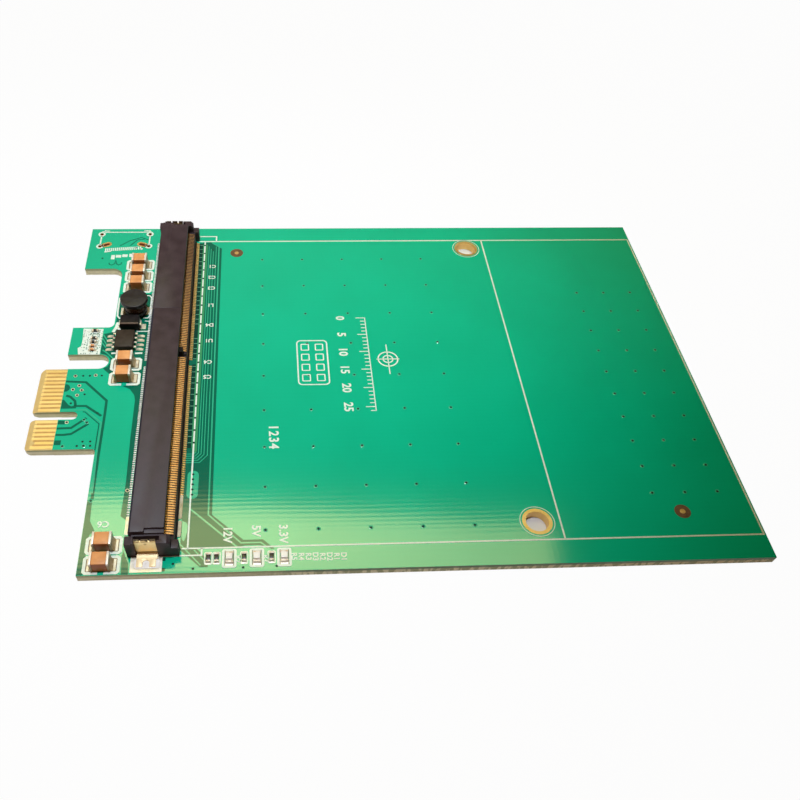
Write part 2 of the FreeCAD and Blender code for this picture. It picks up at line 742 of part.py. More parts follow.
def make_chip(label, x, y, kind, along_x, height):
    """Ceramic body between two metal end caps, on two lands; kind names its set of sizes."""
    length = f"Sizes.{kind}_length"
    width = f"Sizes.{kind}_width"
    end = f"Sizes.{kind}_end"
    toe = f"Sizes.{kind}_toe"
    middle = f"({length} - 2 * {end})"
    slim = f"({width} - 2 * Sizes.cap_step)"
    low = f"({height} - 2 * Sizes.cap_step)"
    lift = "Places.deck + Sizes.cap_step"
    side = f"({width} + 2 * Sizes.land_margin)"
    ends = []
    if along_x:
        keep(new_box(label, f"{x} - {middle} / 2", f"{y} - {slim} / 2", lift, middle, slim, low),
             label)
    else:
        keep(new_box(label, f"{x} - {slim} / 2", f"{y} - {middle} / 2", lift, slim, middle, low),
             label)
    for name, start, land_start in (
            ("a", f"-{length} / 2", f"-{length} / 2 - {toe}"),
            ("b", f"{length} / 2 - {end}", f"{length} / 2 - {end}")):
        if along_x:
            ends.append(new_box(f"{label}_end_{name}", f"{x} + {start}", f"{y} - {width} / 2",
                                "Places.deck", end, width, height))
            add_land(f"{x} + {land_start}", f"{y} - {side} / 2", f"{end} + {toe}", side)
        else:
            ends.append(new_box(f"{label}_end_{name}", f"{x} - {width} / 2", f"{y} + {start}",
                                "Places.deck", width, end, height))
            add_land(f"{x} - {side} / 2", f"{y} + {land_start}", side, f"{end} + {toe}")
    new_group(f"{label}_ends", ends)


def make_led_lens(label, x, y):
    """Clear block moulded on the carrier, with drafted sides."""
    body = doc.addObject("PartDesign::Body", label)
    keep(body, label)
    place(body, x, y, "Places.deck + Sizes.led_base_height - Sizes.cap_step")
    plan = new_sketch(body, f"{label}_plan", "XY_Plane")
    half_width = "Sizes.led_width / 2 - Sizes.cap_step"
    add_rectangle(plan, f"-({half_width})", half_width,
                  "-Sizes.led_lens_length / 2", "Sizes.led_lens_length / 2")
    block = extrude(body, "Pad", plan, "Sizes.led_lens_height")
    block.setExpression("TaperAngle", "-Sizes.led_lens_taper")


# Parts with moulded bodies and metal leads

def make_moulded_body(label, x, y, length, width, floor, top, draft):
    """Moulded block whose sides lean in above and below its parting line."""
    body = doc.addObject("PartDesign::Body", label)
    keep(body, label)
    place(body, x, y, "Places.deck")
    profile = new_sketch(body, f"{label}_profile", "XZ_Plane")
    middle = f"({floor} + {top}) / 2"
    wide = f"{length} / 2"
    slim = f"{length} / 2 - {draft}"
    add_outline(profile, [
        (f"-({slim})", floor),
        (slim, floor),
        (wide, middle),
        (slim, top),
        (f"-({slim})", top),
        (f"-{wide}", middle),
    ])
    extrude(body, "Pad", profile, width, side="Symmetric")


def make_regulator():
    """Eight-lead voltage regulator."""
    make_moulded_body("regulator_body", "Places.regulator_x", "Places.regulator_y",
                      "Sizes.regulator_width", "Sizes.regulator_length",
                      "Sizes.regulator_standoff", "Sizes.regulator_height",
                      "Sizes.regulator_draft")
    metal = size("regulator_lead_sheet")
    start = size("regulator_width") / 2
    middle = (size("regulator_standoff") + size("regulator_height")) / 2
    knee = start + size("regulator_knee")
    toe = knee + size("regulator_foot")
    gull_wing = [
        (start, middle + metal / 2),
        (knee, middle + metal / 2),
        (knee, metal),
        (toe, 0),
        (knee - metal, 0),
        (knee - metal, middle - metal / 2),
        (start, middle - metal / 2),
    ]
    leads = []
    for profile in (gull_wing, mirrored(gull_wing)):
        lead = strip(profile, size("regulator_lead_width"))
        for row in (-1.5, -0.5, 0.5, 1.5):
            leads.append(lead.translated(FreeCAD.Vector(0, row * size("regulator_pitch"), 0)))
    new_strips("regulator_leads", leads, "Places.regulator_x", "Places.regulator_y",
               "Places.deck")
    reach = "(Sizes.regulator_foot + Sizes.regulator_lead_sheet + Sizes.regulator_toe)"
    inner = "(Sizes.regulator_width / 2 + Sizes.regulator_knee - Sizes.regulator_lead_sheet)"
    wide = "(Sizes.regulator_lead_width + 2 * Sizes.land_margin)"
    for row in (-1.5, -0.5, 0.5, 1.5):
        low = f"Places.regulator_y + {row} * Sizes.regulator_pitch - {wide} / 2"
        add_land(f"Places.regulator_x + {inner}", low, reach, wide)
        add_land(f"Places.regulator_x - {inner} - {reach}", low, reach, wide)


def make_diode():
    """Moulded diode whose leads fold down and back under its body."""
    make_moulded_body("diode_body", "Places.diode_x", "Places.diode_y", "Sizes.diode_length",
                      "Sizes.diode_width", "Places.diode_floor", "Sizes.diode_height",
                      "Sizes.diode_draft")
    metal = size("diode_lead_sheet")
    start = size("diode_length") / 2
    outer = start + size("diode_lead_out")
    middle = spot("diode_middle")
    folded = [
        (start, middle + metal / 2),
        (outer, middle + metal / 2),
        (outer, 0),
        (outer - size("diode_lead_fold"), 0),
        (outer - size("diode_lead_fold"), metal),
        (outer - metal, metal),
        (outer - metal, middle - metal / 2),
        (start, middle - metal / 2),
    ]
    leads = [strip(profile, size("diode_lead_width")) for profile in (folded, mirrored(folded))]
    new_strips("diode_leads", leads, "Places.diode_x", "Places.diode_y", "Places.deck")
    reach = "(Sizes.diode_lead_fold + Sizes.diode_toe)"
    outer_end = "(Sizes.diode_length / 2 + Sizes.diode_lead_out + Sizes.diode_toe)"
    wide = "(Sizes.diode_lead_width + 2 * Sizes.land_margin)"
    low = f"Places.diode_y - {wide} / 2"
    add_land(f"Places.diode_x + {outer_end} - {reach}", low, reach, wide)
    add_land(f"Places.diode_x - {outer_end}", low, reach, wide)


# Drum inductor

def make_turned(label, corners):
    """Turns a half section round the inductor's upright axis."""
    body = doc.addObject("PartDesign::Body", label)
    keep(body, label)
    place(body, "Places.inductor_x", "Places.inductor_y", "Places.deck")
    section = new_sketch(body, f"{label}_section", "XZ_Plane")
    add_outline(section, corners)
    turned = body.newObject("PartDesign::Revolution", f"{label}_turned")
    turned.Profile = section
    turned.ReferenceAxis = (section, ["V_Axis"])
    turned.Angle = 360
    doc.recompute()


def make_inductor():
    """Ferrite drum with a copper winding in its groove, on two metal terminals."""
    radius = "Sizes.inductor_diameter / 2"
    neck = "Sizes.inductor_neck / 2"
    foot = "Sizes.terminal_sheet"
    shelf = "Sizes.terminal_sheet + Sizes.inductor_base"
    under = "Sizes.inductor_height - Sizes.inductor_disc"
    make_turned("inductor_core", [
        ("0", foot),
        ("Sizes.inductor_base_diameter / 2", foot),
        ("Sizes.inductor_base_diameter / 2", shelf),
        (neck, shelf),
        (neck, under),
        (radius, under),
        (radius, "Sizes.inductor_height"),
        ("0", "Sizes.inductor_height"),
    ])
    make_turned("inductor_winding", [
        (f"{neck} + Sizes.winding_clearance", shelf),
        ("Sizes.winding_diameter / 2", shelf),
        ("Sizes.winding_diameter / 2", f"{under} - Sizes.winding_clearance"),
        (f"{neck} + Sizes.winding_clearance", f"{under} - Sizes.winding_clearance"),
    ])
    outer = f"({radius} - Sizes.terminal_inset)"
    inner = f"({outer} - Sizes.terminal_length)"
    low = "Places.inductor_y - Sizes.terminal_width / 2"
    reach = "(Sizes.terminal_length + Sizes.inductor_toe)"
    terminals = []
    for name, x in (("a", f"Places.inductor_x - {outer}"), ("b", f"Places.inductor_x + {inner}")):
        terminals.append(new_box(f"terminal_{name}", x, low, "Places.deck",
                                 "Sizes.terminal_length", "Sizes.terminal_width", foot))
    new_group("inductor_terminals", terminals)
    add_land(f"Places.inductor_x + {inner}", low, reach, "Sizes.terminal_width")
    add_land(f"Places.inductor_x - {inner} - {reach}", low, reach, "Sizes.terminal_width")


# Assembly

make_circuit_board()
make_edge_fingers("edge_fingers_top", "Places.bare_top", 1)
last_finger = size("near_finger_count") + size("key_finger_count") + size("far_finger_count") - 1
make_edge_fingers("edge_fingers_bottom", "Sizes.bare_depth - Sizes.finger_thickness",
                  int(last_finger))
make_hole_rings()

make_slot_housing()
make_slot_contacts()
make_hold_down("hold_down_near", "Places.slot_y", 0)
make_hold_down("hold_down_far", "Places.slot_y + Places.slot_length", 180)
land_half = "((Sizes.hold_down_width - Sizes.foot_trim) / 2 + Sizes.hold_down_land_margin)"
land_reach = "(Sizes.hold_down_foot_length + Sizes.hold_down_land_toe)"
add_land(f"Places.hold_down_x - Sizes.foot_trim / 2 - {land_half}",
         f"Places.slot_y - {land_reach}", f"2 * {land_half}", land_reach)
add_land(f"Places.hold_down_x + Sizes.foot_trim / 2 - {land_half}",
         "Places.slot_y + Places.slot_length", f"2 * {land_half}", land_reach)

capacitor_rows = (
    ("Places.bank_x", "Places.bank_far_y"),
    ("Places.bank_x", "Places.bank_middle_y"),
    ("Places.bank_x", "Places.bank_near_y"),
    ("Places.pair_x", "Places.pair_far_y"),
    ("Places.pair_x", "Places.pair_near_y"),
    ("Places.corner_x", "Places.corner_far_y"),
    ("Places.corner_x", "Places.corner_near_y"),
)
for number, (row_x, row_y) in enumerate(capacitor_rows, start=1):
    make_chip(f"capacitor_{number}", row_x, row_y, "capacitor", True, "Sizes.capacitor_height")
make_regulator()
make_diode()
make_inductor()

for number in range(3):
    led_x = f"Places.led_x + {number} * Sizes.led_pitch"
    make_chip(f"led_{number + 1}", led_x, "Places.led_y", "led", False, "Sizes.led_base_height")
    make_led_lens(f"led_{number + 1}_lens", led_x, "Places.led_y")
    make_chip(f"led_resistor_{number + 1}", f"{led_x} - Sizes.led_resistor_offset", "Places.led_y",
              "resistor", False, "Sizes.resistor_height")
make_chip("led_resistor_4",
          "Places.led_x - Sizes.led_resistor_offset - Sizes.spare_resistor_offset",
          "Places.led_y", "resistor", False, "Sizes.resistor_height")

tab_chips = ("tab_capacitor_1", "tab_capacitor_2", "tab_resistor_1", "tab_resistor_2", None,
             "tab_resistor_3")
for row, label in enumerate(tab_chips):
    if label is not None:
        make_chip(label, "Places.chip_x", f"Places.chip_y + {row} * Sizes.chip_pitch", "chip",
                  True, "Sizes.chip_height")
new_group("solder_lands", lands)

# Test every object, then write each sub-part

doc.recompute()
for item in doc.Objects:
    if "Invalid" in item.State or "Error" in item.State:
        raise RuntimeError(f"{item.Label} failed: {item.State}")
for piece in subparts:
    if piece.Shape.isNull() or not piece.Shape.isValid():
        raise RuntimeError(f"{piece.Label} has no valid shape")

os.makedirs("parts", exist_ok=True)
for piece in subparts:
    piece.Shape.exportStep(f"parts/{piece.Label}.step")
print(len(subparts), "sub-parts written")
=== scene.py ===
import math
import random

import bmesh
import bpy
from mathutils import Matrix, Vector


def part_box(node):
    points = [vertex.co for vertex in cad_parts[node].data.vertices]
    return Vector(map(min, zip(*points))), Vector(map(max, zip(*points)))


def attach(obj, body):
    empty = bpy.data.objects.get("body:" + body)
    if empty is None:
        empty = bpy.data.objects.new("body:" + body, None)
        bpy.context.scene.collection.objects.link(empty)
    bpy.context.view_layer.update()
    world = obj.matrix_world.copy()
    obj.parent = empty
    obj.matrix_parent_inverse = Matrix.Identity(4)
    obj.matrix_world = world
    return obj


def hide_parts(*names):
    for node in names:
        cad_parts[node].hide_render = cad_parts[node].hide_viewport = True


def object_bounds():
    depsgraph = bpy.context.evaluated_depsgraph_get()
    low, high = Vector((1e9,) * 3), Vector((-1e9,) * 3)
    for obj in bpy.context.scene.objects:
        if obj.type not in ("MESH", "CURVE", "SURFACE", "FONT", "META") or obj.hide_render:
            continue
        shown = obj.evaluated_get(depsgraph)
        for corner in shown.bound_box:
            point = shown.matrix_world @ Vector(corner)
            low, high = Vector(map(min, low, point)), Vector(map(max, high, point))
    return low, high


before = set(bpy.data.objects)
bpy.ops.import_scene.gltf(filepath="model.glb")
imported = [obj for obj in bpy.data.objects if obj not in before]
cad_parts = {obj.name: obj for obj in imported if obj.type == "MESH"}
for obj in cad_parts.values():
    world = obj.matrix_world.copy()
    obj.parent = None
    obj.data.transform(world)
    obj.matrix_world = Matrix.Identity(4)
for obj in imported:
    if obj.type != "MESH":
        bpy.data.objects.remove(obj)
cad_low, cad_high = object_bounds()

# Table, lamps and camera.
# The card lies on a white table in a dim warm room, under a soft spot on the left and a weak
# fill on the right. A long lamp beyond its far edge shows in the gloss as a pale band.
MM = 0.001
FINGER_REACH = 5.2
FRONT_MARGIN = 9.4
board_low, board_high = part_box("circuit_board")
DATUM = Vector((board_low.x + FINGER_REACH * MM, board_low.y + FRONT_MARGIN * MM, board_high.z))


def on_board(x, y, z=0.0):
    """Point in metres from millimetres: x from the fingers' inner ends, y along them, z above."""
    return DATUM + Vector((x, y, z)) * MM


def add_node(tree, kind, inputs=(), **settings):
    """New node with its settings made and its inputs set or linked."""
    node = tree.nodes.new(kind)
    for name, value in settings.items():
        setattr(node, name, value)
    for name, value in dict(inputs).items():
        if isinstance(value, bpy.types.NodeSocket):
            tree.links.new(value, node.inputs[name])
        else:
            node.inputs[name].default_value = value
    return node


def calc(tree, operation, *values, **settings):
    """Result of a sum on sockets or numbers."""
    return add_node(tree, "ShaderNodeMath", enumerate(values), operation=operation, **settings).outputs[0]


def ramp(tree, value, start, end, low=0.0, high=1.0):
    """Result that goes from low to high while a value goes from start to end."""
    return add_node(tree, "ShaderNodeMapRange", {
        "Value": value, "From Min": start, "From Max": end, "To Min": low, "To Max": high}).outputs[0]


def part_of(tree, vector, axis):
    """One axis of a vector."""
    return add_node(tree, "ShaderNodeSeparateXYZ", {0: vector}).outputs[axis]


def distance(tree, vector, point):
    """How far a vector is from a point."""
    return add_node(tree, "ShaderNodeVectorMath", {0: vector, 1: point},
                    operation="DISTANCE").outputs["Value"]


def link_new(name, data):
    """New object for some data, linked into the scene."""
    item = bpy.data.objects.new(name, data)
    bpy.context.scene.collection.objects.link(item)
    return item


CAMERA_PLACE = (-19.78, -106.19, 109.57)
CAMERA_TURN = (35.521, -1.672, -2.691)
CAMERA_SENSOR = 36.0
CAMERA_LENS = 33.77
CAMERA_SHIFT = (0.1092, 0.1106)
camera = link_new("camera", bpy.data.cameras.new("camera"))
camera.location = Vector(CAMERA_PLACE) * MM
camera.rotation_euler = [math.radians(turn) for turn in CAMERA_TURN]
camera.data.sensor_width = CAMERA_SENSOR
camera.data.lens = CAMERA_LENS
camera.data.shift_x, camera.data.shift_y = CAMERA_SHIFT
camera.data.clip_start = 0.001
bpy.context.scene.camera = camera
bpy.context.scene.view_settings.view_transform = "Standard"

WHITE = (1, 1, 1, 1)
TABLE_SIZE = 3.0
TABLE_DROP = 0.00005
TABLE_WHITE = (0.74, 0.74, 0.74, 1.0)
TABLE_GLOW = 0.97
HOLES = ((85.45, 74.1), (85.45, -1.05))
HOLE_SHADE = 4.5 * MM
table = bpy.data.meshes.new("table")
table.from_pydata(
    [(x * TABLE_SIZE, y * TABLE_SIZE, cad_low.z - TABLE_DROP)
     for x, y in ((-1, -1), (1, -1), (1, 1), (-1, 1))], [], [(0, 1, 2, 3)])
floor = link_new("table", table)
table_finish = bpy.data.materials.new("white_table")
table_finish.use_nodes = True
tree = table_finish.node_tree
tree.nodes.clear()
path = add_node(tree, "ShaderNodeLightPath").outputs
seen = calc(tree, "MAXIMUM", path["Is Camera Ray"], path["Is Glossy Ray"])
seen = calc(tree, "MAXIMUM", seen, path["Is Transmission Ray"])
spread = add_node(tree, "ShaderNodeTexCoord").outputs["Object"]
for x, y in HOLES:
    clear = calc(tree, "GREATER_THAN", distance(tree, spread, on_board(x, y)), HOLE_SHADE)
    seen = calc(tree, "MULTIPLY", seen, clear)
share = calc(tree, "MULTIPLY", seen, TABLE_GLOW)
matt = add_node(tree, "ShaderNodeBsdfDiffuse", {"Color": TABLE_WHITE})
glow = add_node(tree, "ShaderNodeEmission", {"Color": WHITE, "Strength": 1.0})
mixed = add_node(tree, "ShaderNodeMixShader", {0: share, 1: matt.outputs[0], 2: glow.outputs[0]})
add_node(tree, "ShaderNodeOutputMaterial", {0: mixed.outputs[0]})
table.materials.append(table_finish)

ROOM_TINT = (1.0, 0.56, 0.36, 1.0)
ROOM_LEAN = (0.5, 0.0, 1.0)
ROOM_RISE = (0.56, 0.90)
ROOM_LEVEL = (0.28, 0.01)
ROOM_HORIZON = 0.12
world = bpy.data.worlds.new("room")
bpy.context.scene.world = world
world.use_nodes = True
tree = world.node_tree
toward = add_node(tree, "ShaderNodeTexCoord").outputs["Generated"]
rise = add_node(tree, "ShaderNodeVectorMath", {0: toward, 1: ROOM_LEAN}, operation="DOT_PRODUCT")
room = tree.nodes["Background"]
room.inputs["Color"].default_value = ROOM_TINT
tree.links.new(ramp(tree, rise.outputs["Value"], *ROOM_RISE, *ROOM_LEVEL), room.inputs["Strength"])
path = add_node(tree, "ShaderNodeLightPath").outputs
far_off = calc(tree, "LESS_THAN", part_of(tree, toward, "Z"), ROOM_HORIZON)
seen = calc(tree, "MAXIMUM", path["Is Camera Ray"], calc(tree, "MULTIPLY", path["Is Glossy Ray"], far_off))
seen = calc(tree, "MAXIMUM", seen, path["Is Transmission Ray"])
backdrop = add_node(tree, "ShaderNodeBackground", {"Color": WHITE, "Strength": 1.0})
shown = add_node(tree, "ShaderNodeMixShader", {0: seen, 1: room.outputs[0], 2: backdrop.outputs[0]})
tree.links.new(shown.outputs[0], tree.nodes["World Output"].inputs["Surface"])


def hang(name, kind, place, energy, colour, aim=None):
    """New lamp at a place on the board's scale, turned to a point of the board if one is given."""
    lamp = link_new(name, bpy.data.lights.new(name, kind))
    lamp.location = on_board(*place)
    lamp.data.energy = energy
    lamp.data.color = colour
    if aim is not None:
        lamp.rotation_euler = (on_board(*aim) - lamp.location).to_track_quat("-Z", "Y").to_euler()
    return lamp


SPOT_CONE = 25.8
SPOT_RADIUS = 30 * MM
spot = hang("back_spot", "SPOT", place=(10, 40, 560), energy=10.8, colour=(0.92, 1.0, 1.12),
            aim=(15, 52, 0))
spot.data.spot_size = math.radians(SPOT_CONE)
spot.data.spot_blend = 1.0
spot.data.shadow_soft_size = SPOT_RADIUS

LAMP_SIZE = (456, 66)
LAMP_TURN = -6.0
LAMP_FADE = (0.5, 0.9)
LAMP_LEVEL = (1.45, 0.8)
lamp = hang("long_lamp", "AREA", place=(33, 239, 400), energy=0.41, colour=(1.0, 0.93, 0.34))
lamp.rotation_euler = (0, 0, math.radians(LAMP_TURN))
lamp.data.shape = "RECTANGLE"
lamp.data.size, lamp.data.size_y = (side * MM for side in LAMP_SIZE)
lamp.data.use_nodes = True
tree = lamp.data.node_tree
along = part_of(tree, add_node(tree, "ShaderNodeNewGeometry").outputs["Parametric"], "X")
tree.links.new(ramp(tree, along, *LAMP_FADE, *LAMP_LEVEL), tree.nodes["Emission"].inputs["Strength"])

FILL_SPREAD = 24.0
FILL_SIZE = 80 * MM
fill = hang("side_fill", "AREA", place=(220, 100, 420), energy=0.0095, colour=(0.95, 1.0, 0.65),
            aim=(108, 92, 0))
fill.data.size = FILL_SIZE
fill.data.spread = math.radians(FILL_SPREAD)

# Circuit board.
# Glass-epoxy laminate with copper on both faces under glossy green solder mask, routed to
# its outline and bevelled at the fingers, where the laminate is bare.


def new_finish(name):
    """New material, its node tree and its shader."""
    finish = bpy.data.materials.new(name)
    finish.use_nodes = True
    return finish, finish.node_tree, finish.node_tree.nodes["Principled BSDF"]


def new_group(name, inputs, outputs):
    """Empty shader group with named sockets, and its two end nodes."""
    group = bpy.data.node_groups.new(name, "ShaderNodeTree")
    for label, kind in inputs:
        group.interface.new_socket(label, in_out="INPUT", socket_type=kind)
    for label, kind in outputs:
        group.interface.new_socket(label, in_out="OUTPUT", socket_type=kind)
    return group, group.nodes.new("NodeGroupInput").outputs, group.nodes.new("NodeGroupOutput").inputs


def mix(tree, share, low, high):
    """Colour between two colours, by a share."""
    return add_node(tree, "ShaderNodeMix", {0: share, 6: low, 7: high}, data_type="RGBA").outputs[2]


THREAD_SLACK = 0.1
WARP_SHARE = 0.35
THREAD_SHADE = 0.06
CLOUD_SCALE = 55.0
CLOUD_RELIEF = 3.0
glass_weave, given, result = new_group(
    "glass_weave",
    (("Thread", "NodeSocketFloat"), ("Wander", "NodeSocketFloat"),
     ("Low", "NodeSocketColor"), ("High", "NodeSocketColor")),
    (("Colour", "NodeSocketColor"), ("Height", "NodeSocketFloat")))
place = add_node(glass_weave, "ShaderNodeTexCoord").outputs["Object"]
threads = {}
for run, stretch in (("Y", (THREAD_SLACK, 1.0, 1.0)), ("X", (1.0, THREAD_SLACK, 1.0))):
    drawn = add_node(glass_weave, "ShaderNodeMapping", {"Vector": place, "Scale": stretch})
    threads[run] = add_node(glass_weave, "ShaderNodeTexWave", {
        "Vector": drawn.outputs[0], "Scale": given["Thread"], "Distortion": given["Wander"],
        "Detail": 1.0}, bands_direction=run).outputs["Fac"]
cloud = add_node(glass_weave, "ShaderNodeTexNoise", {
    "Vector": place, "Scale": CLOUD_SCALE, "Detail": 3.0}).outputs["Fac"]
woven = calc(glass_weave, "MULTIPLY_ADD", threads["X"], WARP_SHARE, threads["Y"])
shade = calc(glass_weave, "MULTIPLY_ADD", woven, THREAD_SHADE, cloud)
ripple = calc(glass_weave, "MULTIPLY_ADD", cloud, CLOUD_RELIEF, woven)
glass_weave.links.new(mix(glass_weave, shade, given["Low"], given["High"]), result["Colour"])
glass_weave.links.new(ripple, result["Height"])

WEAVE_THREAD = 330.0
WEAVE_WANDER = 3.6
WEAVE_RELIEF = 0.0000014
MASK_ROUGHNESS = 0.1
MASK_IOR = 1.65


def mask_finish(name, low, high, ior=MASK_IOR):
    """Glossy solder mask over laminate or copper, with the glass weave showing through."""
    finish, tree, shader = new_finish(name)
    weave = add_node(tree, "ShaderNodeGroup", {
        "Thread": WEAVE_THREAD, "Wander": WEAVE_WANDER, "Low": (*low, 1.0), "High": (*high, 1.0)},
        node_tree=glass_weave)
    relief = add_node(tree, "ShaderNodeBump", {
        "Height": weave.outputs["Height"], "Distance": WEAVE_RELIEF, "Strength": 1.0})
    tree.links.new(weave.outputs["Colour"], shader.inputs["Base Color"])
    tree.links.new(relief.outputs[0], shader.inputs["Normal"])
    shader.inputs["Roughness"].default_value = MASK_ROUGHNESS
    shader.inputs["IOR"].default_value = ior
    return finish


def reworked(finish):
    """Tree and shader of a finish, the socket that colours it, and the places on its piece."""
    tree = finish.node_tree
    shader = tree.nodes["Principled BSDF"]
    colour = shader.inputs["Base Color"].links[0].from_socket
    return tree, shader, colour, add_node(tree, "ShaderNodeTexCoord").outputs


def x_at(x):
    """Scene position along the card."""
    return on_board(x, 0).x


def z_at(z):
    """Scene height above the board's upper face."""
    return on_board(0, 0, z).z


LAMINATE_PALE = (0.88, 0.84, 0.56, 1.0)
LAMINATE_DARK = (0.25, 0.28, 0.10, 1.0)
RIM_DARK = (0.012, 0.075, 0.03, 1.0)
BARE_LOW = (0.60, 0.41, 0.13, 1.0)
BARE_HIGH = (0.72, 0.52, 0.19, 1.0)
LAMINATE_ROUGHNESS = 0.62
FACE_DEPTH = 0.03 * MM
SLOPED = 0.5
FLAT = 0.95
PLY_SCALE = 790.0
PLY_SHARE = 0.3
DASH_SCALE = 1050.0
DASH_STRETCH = (1.0, 1.0, 0.35)
DASH_EDGE = (0.45, 0.55)
DASH_SHADE = (-0.22, 0.42)
board_finish = mask_finish("mask_on_laminate", (0.001, 0.42, 0.222), (0.001, 0.52, 0.290))
tree, shader, woven, place = reworked(board_finish)
across = part_of(tree, place["Object"], "X")
height = part_of(tree, place["Object"], "Z")
level = calc(tree, "ABSOLUTE", part_of(tree, place["Normal"], "Z"))
upper = calc(tree, "GREATER_THAN", height, board_high.z - FACE_DEPTH)
lower = calc(tree, "LESS_THAN", height, board_low.z + FACE_DEPTH)
flat = calc(tree, "GREATER_THAN", level, FLAT)
masked = calc(tree, "MULTIPLY", calc(tree, "MAXIMUM", upper, lower), flat)
plies = add_node(tree, "ShaderNodeTexWave", {
    "Vector": place["Object"], "Scale": PLY_SCALE, "Distortion": 1.2, "Detail": 2.0,
    "Detail Scale": 0.4}, bands_direction="Z").outputs["Fac"]
stretched = add_node(tree, "ShaderNodeMapping", {"Vector": place["Object"], "Scale": DASH_STRETCH})
dashes = add_node(tree, "ShaderNodeTexNoise", {
    "Vector": stretched.outputs[0], "Scale": DASH_SCALE, "Detail": 1.0}).outputs["Fac"]
grown = ramp(tree, across, x_at(38.0), x_at(44.0), 0.12, 1.0)
# Painted light: the cut edge is painted paler towards the left, over the real pale plies.
left_light_and_plies = ramp(tree, across, x_at(6.0), x_at(34.0), 0.70, 0.25)
left_light_and_plies = calc(tree, "MULTIPLY_ADD", plies, PLY_SHARE, left_light_and_plies)
ragged = calc(tree, "MULTIPLY", ramp(tree, dashes, *DASH_EDGE, *DASH_SHADE), grown)
ragged = calc(tree, "ADD", ragged, left_light_and_plies, use_clamp=True)
ragged = calc(tree, "MULTIPLY", ragged, ramp(tree, height, z_at(-0.65), z_at(-0.35), 1.0, 0.3))
rim = calc(tree, "MULTIPLY", ramp(tree, height, z_at(-0.75), z_at(-0.5), 0.0, 0.85), grown)
cut = mix(tree, rim, mix(tree, ragged, LAMINATE_DARK, LAMINATE_PALE), RIM_DARK)
bare = mix(tree, dashes, BARE_LOW, BARE_HIGH)
laminate = mix(tree, calc(tree, "GREATER_THAN", level, SLOPED), cut, bare)
gloss = ramp(tree, masked, 0.0, 1.0, LAMINATE_ROUGHNESS, MASK_ROUGHNESS)
tree.links.new(mix(tree, masked, laminate, woven), shader.inputs["Base Color"])
tree.links.new(gloss, shader.inputs["Roughness"])


def dress(node, finish):
    """Gives a CAD node its finish."""
    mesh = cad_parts[node].data
    mesh.materials.clear()
    mesh.materials.append(finish)


dress("circuit_board", board_finish)

# Copper under the mask.
# Etched copper shows as lighter green. Bare laminate between the copper is darker, in strips
# beside the tracks and in bands and pockets along the slot. All lie flat under the mask.
SUNK = -0.01
CLEARANCE_TOP = 0.012
POCKET_TOP = 0.018
TRACK_TOP = 0.028


def new_piece(name, mesh, finish, slot, *nodes):
    """Puts a finished mesh on the card as a piece, in place of the CAD nodes that are named."""
    if finish is not None:
        mesh.materials.clear()
        mesh.materials.append(finish)
    piece = link_new(name, mesh)
    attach(piece, "root")
    if nodes:
        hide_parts(*nodes)
    return piece


def soften(mesh, angle):
    """Shades a mesh smooth below an angle in degrees."""
    mesh.shade_smooth()
    mesh.set_sharp_from_angle(angle=math.radians(angle))


def close_mesh(name, shell, smooth=None):
    """Turns a bmesh into a mesh with its faces outwards, smooth below an angle in degrees."""
    bmesh.ops.recalc_face_normals(shell, faces=shell.faces)
    mesh = bpy.data.meshes.new(name)
    shell.to_mesh(mesh)
    shell.free()
    if smooth is not None:
        soften(mesh, smooth)
    return mesh


def close_piece(name, shell, finish, slot, smooth=None, *nodes):
    """Closes a bmesh and puts it on the card as a piece."""
    new_piece(name, close_mesh(name, shell, smooth), finish, slot, *nodes)


def add_skin(shell, rings, closed=False):
    """Joins rings of points in turn into one skin, with its ends capped unless it is closed."""
    count = len(rings)
    for index in range(count if closed else count - 1):
        one, two = rings[index], rings[(index + 1) % count]
        for edge in range(len(one)):
            far = (edge + 1) % len(one)
            shell.faces.new((one[edge], one[far], two[far], two[edge]))
    if not closed:
        shell.faces.new(rings[0][::-1])
        shell.faces.new(rings[-1])


def add_prism(shell, outline, low, high):
    """Closed plate over a flat outline, in millimetres on the board."""
    under, over = ([shell.verts.new(on_board(x, y, z)) for x, y in outline] for z in (low, high))
    shell.faces.new(over)
    shell.faces.new(under[::-1])
    for first in range(len(outline)):
        second = (first + 1) % len(outline)
        shell.faces.new((under[first], under[second], over[second], over[first]))


def mitred(points, width, closed=False, least=0.3):
    """Left and right points of a bent line of one width, mitred at its corners."""
    corners = [Vector(point) for point in points]
    count = len(corners)
    sides = []
    for index, corner in enumerate(corners):
        before = corners[index - 1] if closed or index else None
        after = corners[(index + 1) % count] if closed or index < count - 1 else None
        runs = [(corner - before).normalized()] if before is not None else []
        runs += [(after - corner).normalized()] if after is not None else []
        across = [Vector((-run.y, run.x)) for run in runs]
        middle = sum(across, Vector((0, 0))).normalized()
        reach = width / 2 / max(middle.dot(across[0]), least)
        sides.append((corner + middle * reach, corner - middle * reach))
    return sides


def add_line(shell, points, width, low, high, closed=False):
    """Flat line of one width along bent runs."""
    add_skin(shell, [[shell.verts.new(on_board(point.x, point.y, level))
                      for point, level in ((left, low), (right, low), (right, high), (left, high))]
                     for left, right in mitred(points, width, closed)], closed)


def corners_of(x_low, x_high, y_low, y_high):
    """Corner points of a rectangle."""
    return [(x_low, y_low), (x_high, y_low), (x_high, y_high), (x_low, y_high)]


def rounded(x_low, x_high, y_low, y_high, radius, steps=4):
    """Points round a rectangle with round corners."""
    points = []
    middles = ((x_high - radius, y_high - radius), (x_low + radius, y_high - radius),
               (x_low + radius, y_low + radius), (x_high - radius, y_low + radius))
    for quarter, (x, y) in enumerate(middles):
        for step in range(steps + 1):
            angle = math.pi / 2 * (quarter + step / steps)
            points.append((x + radius * math.cos(angle), y + radius * math.sin(angle)))
    return points


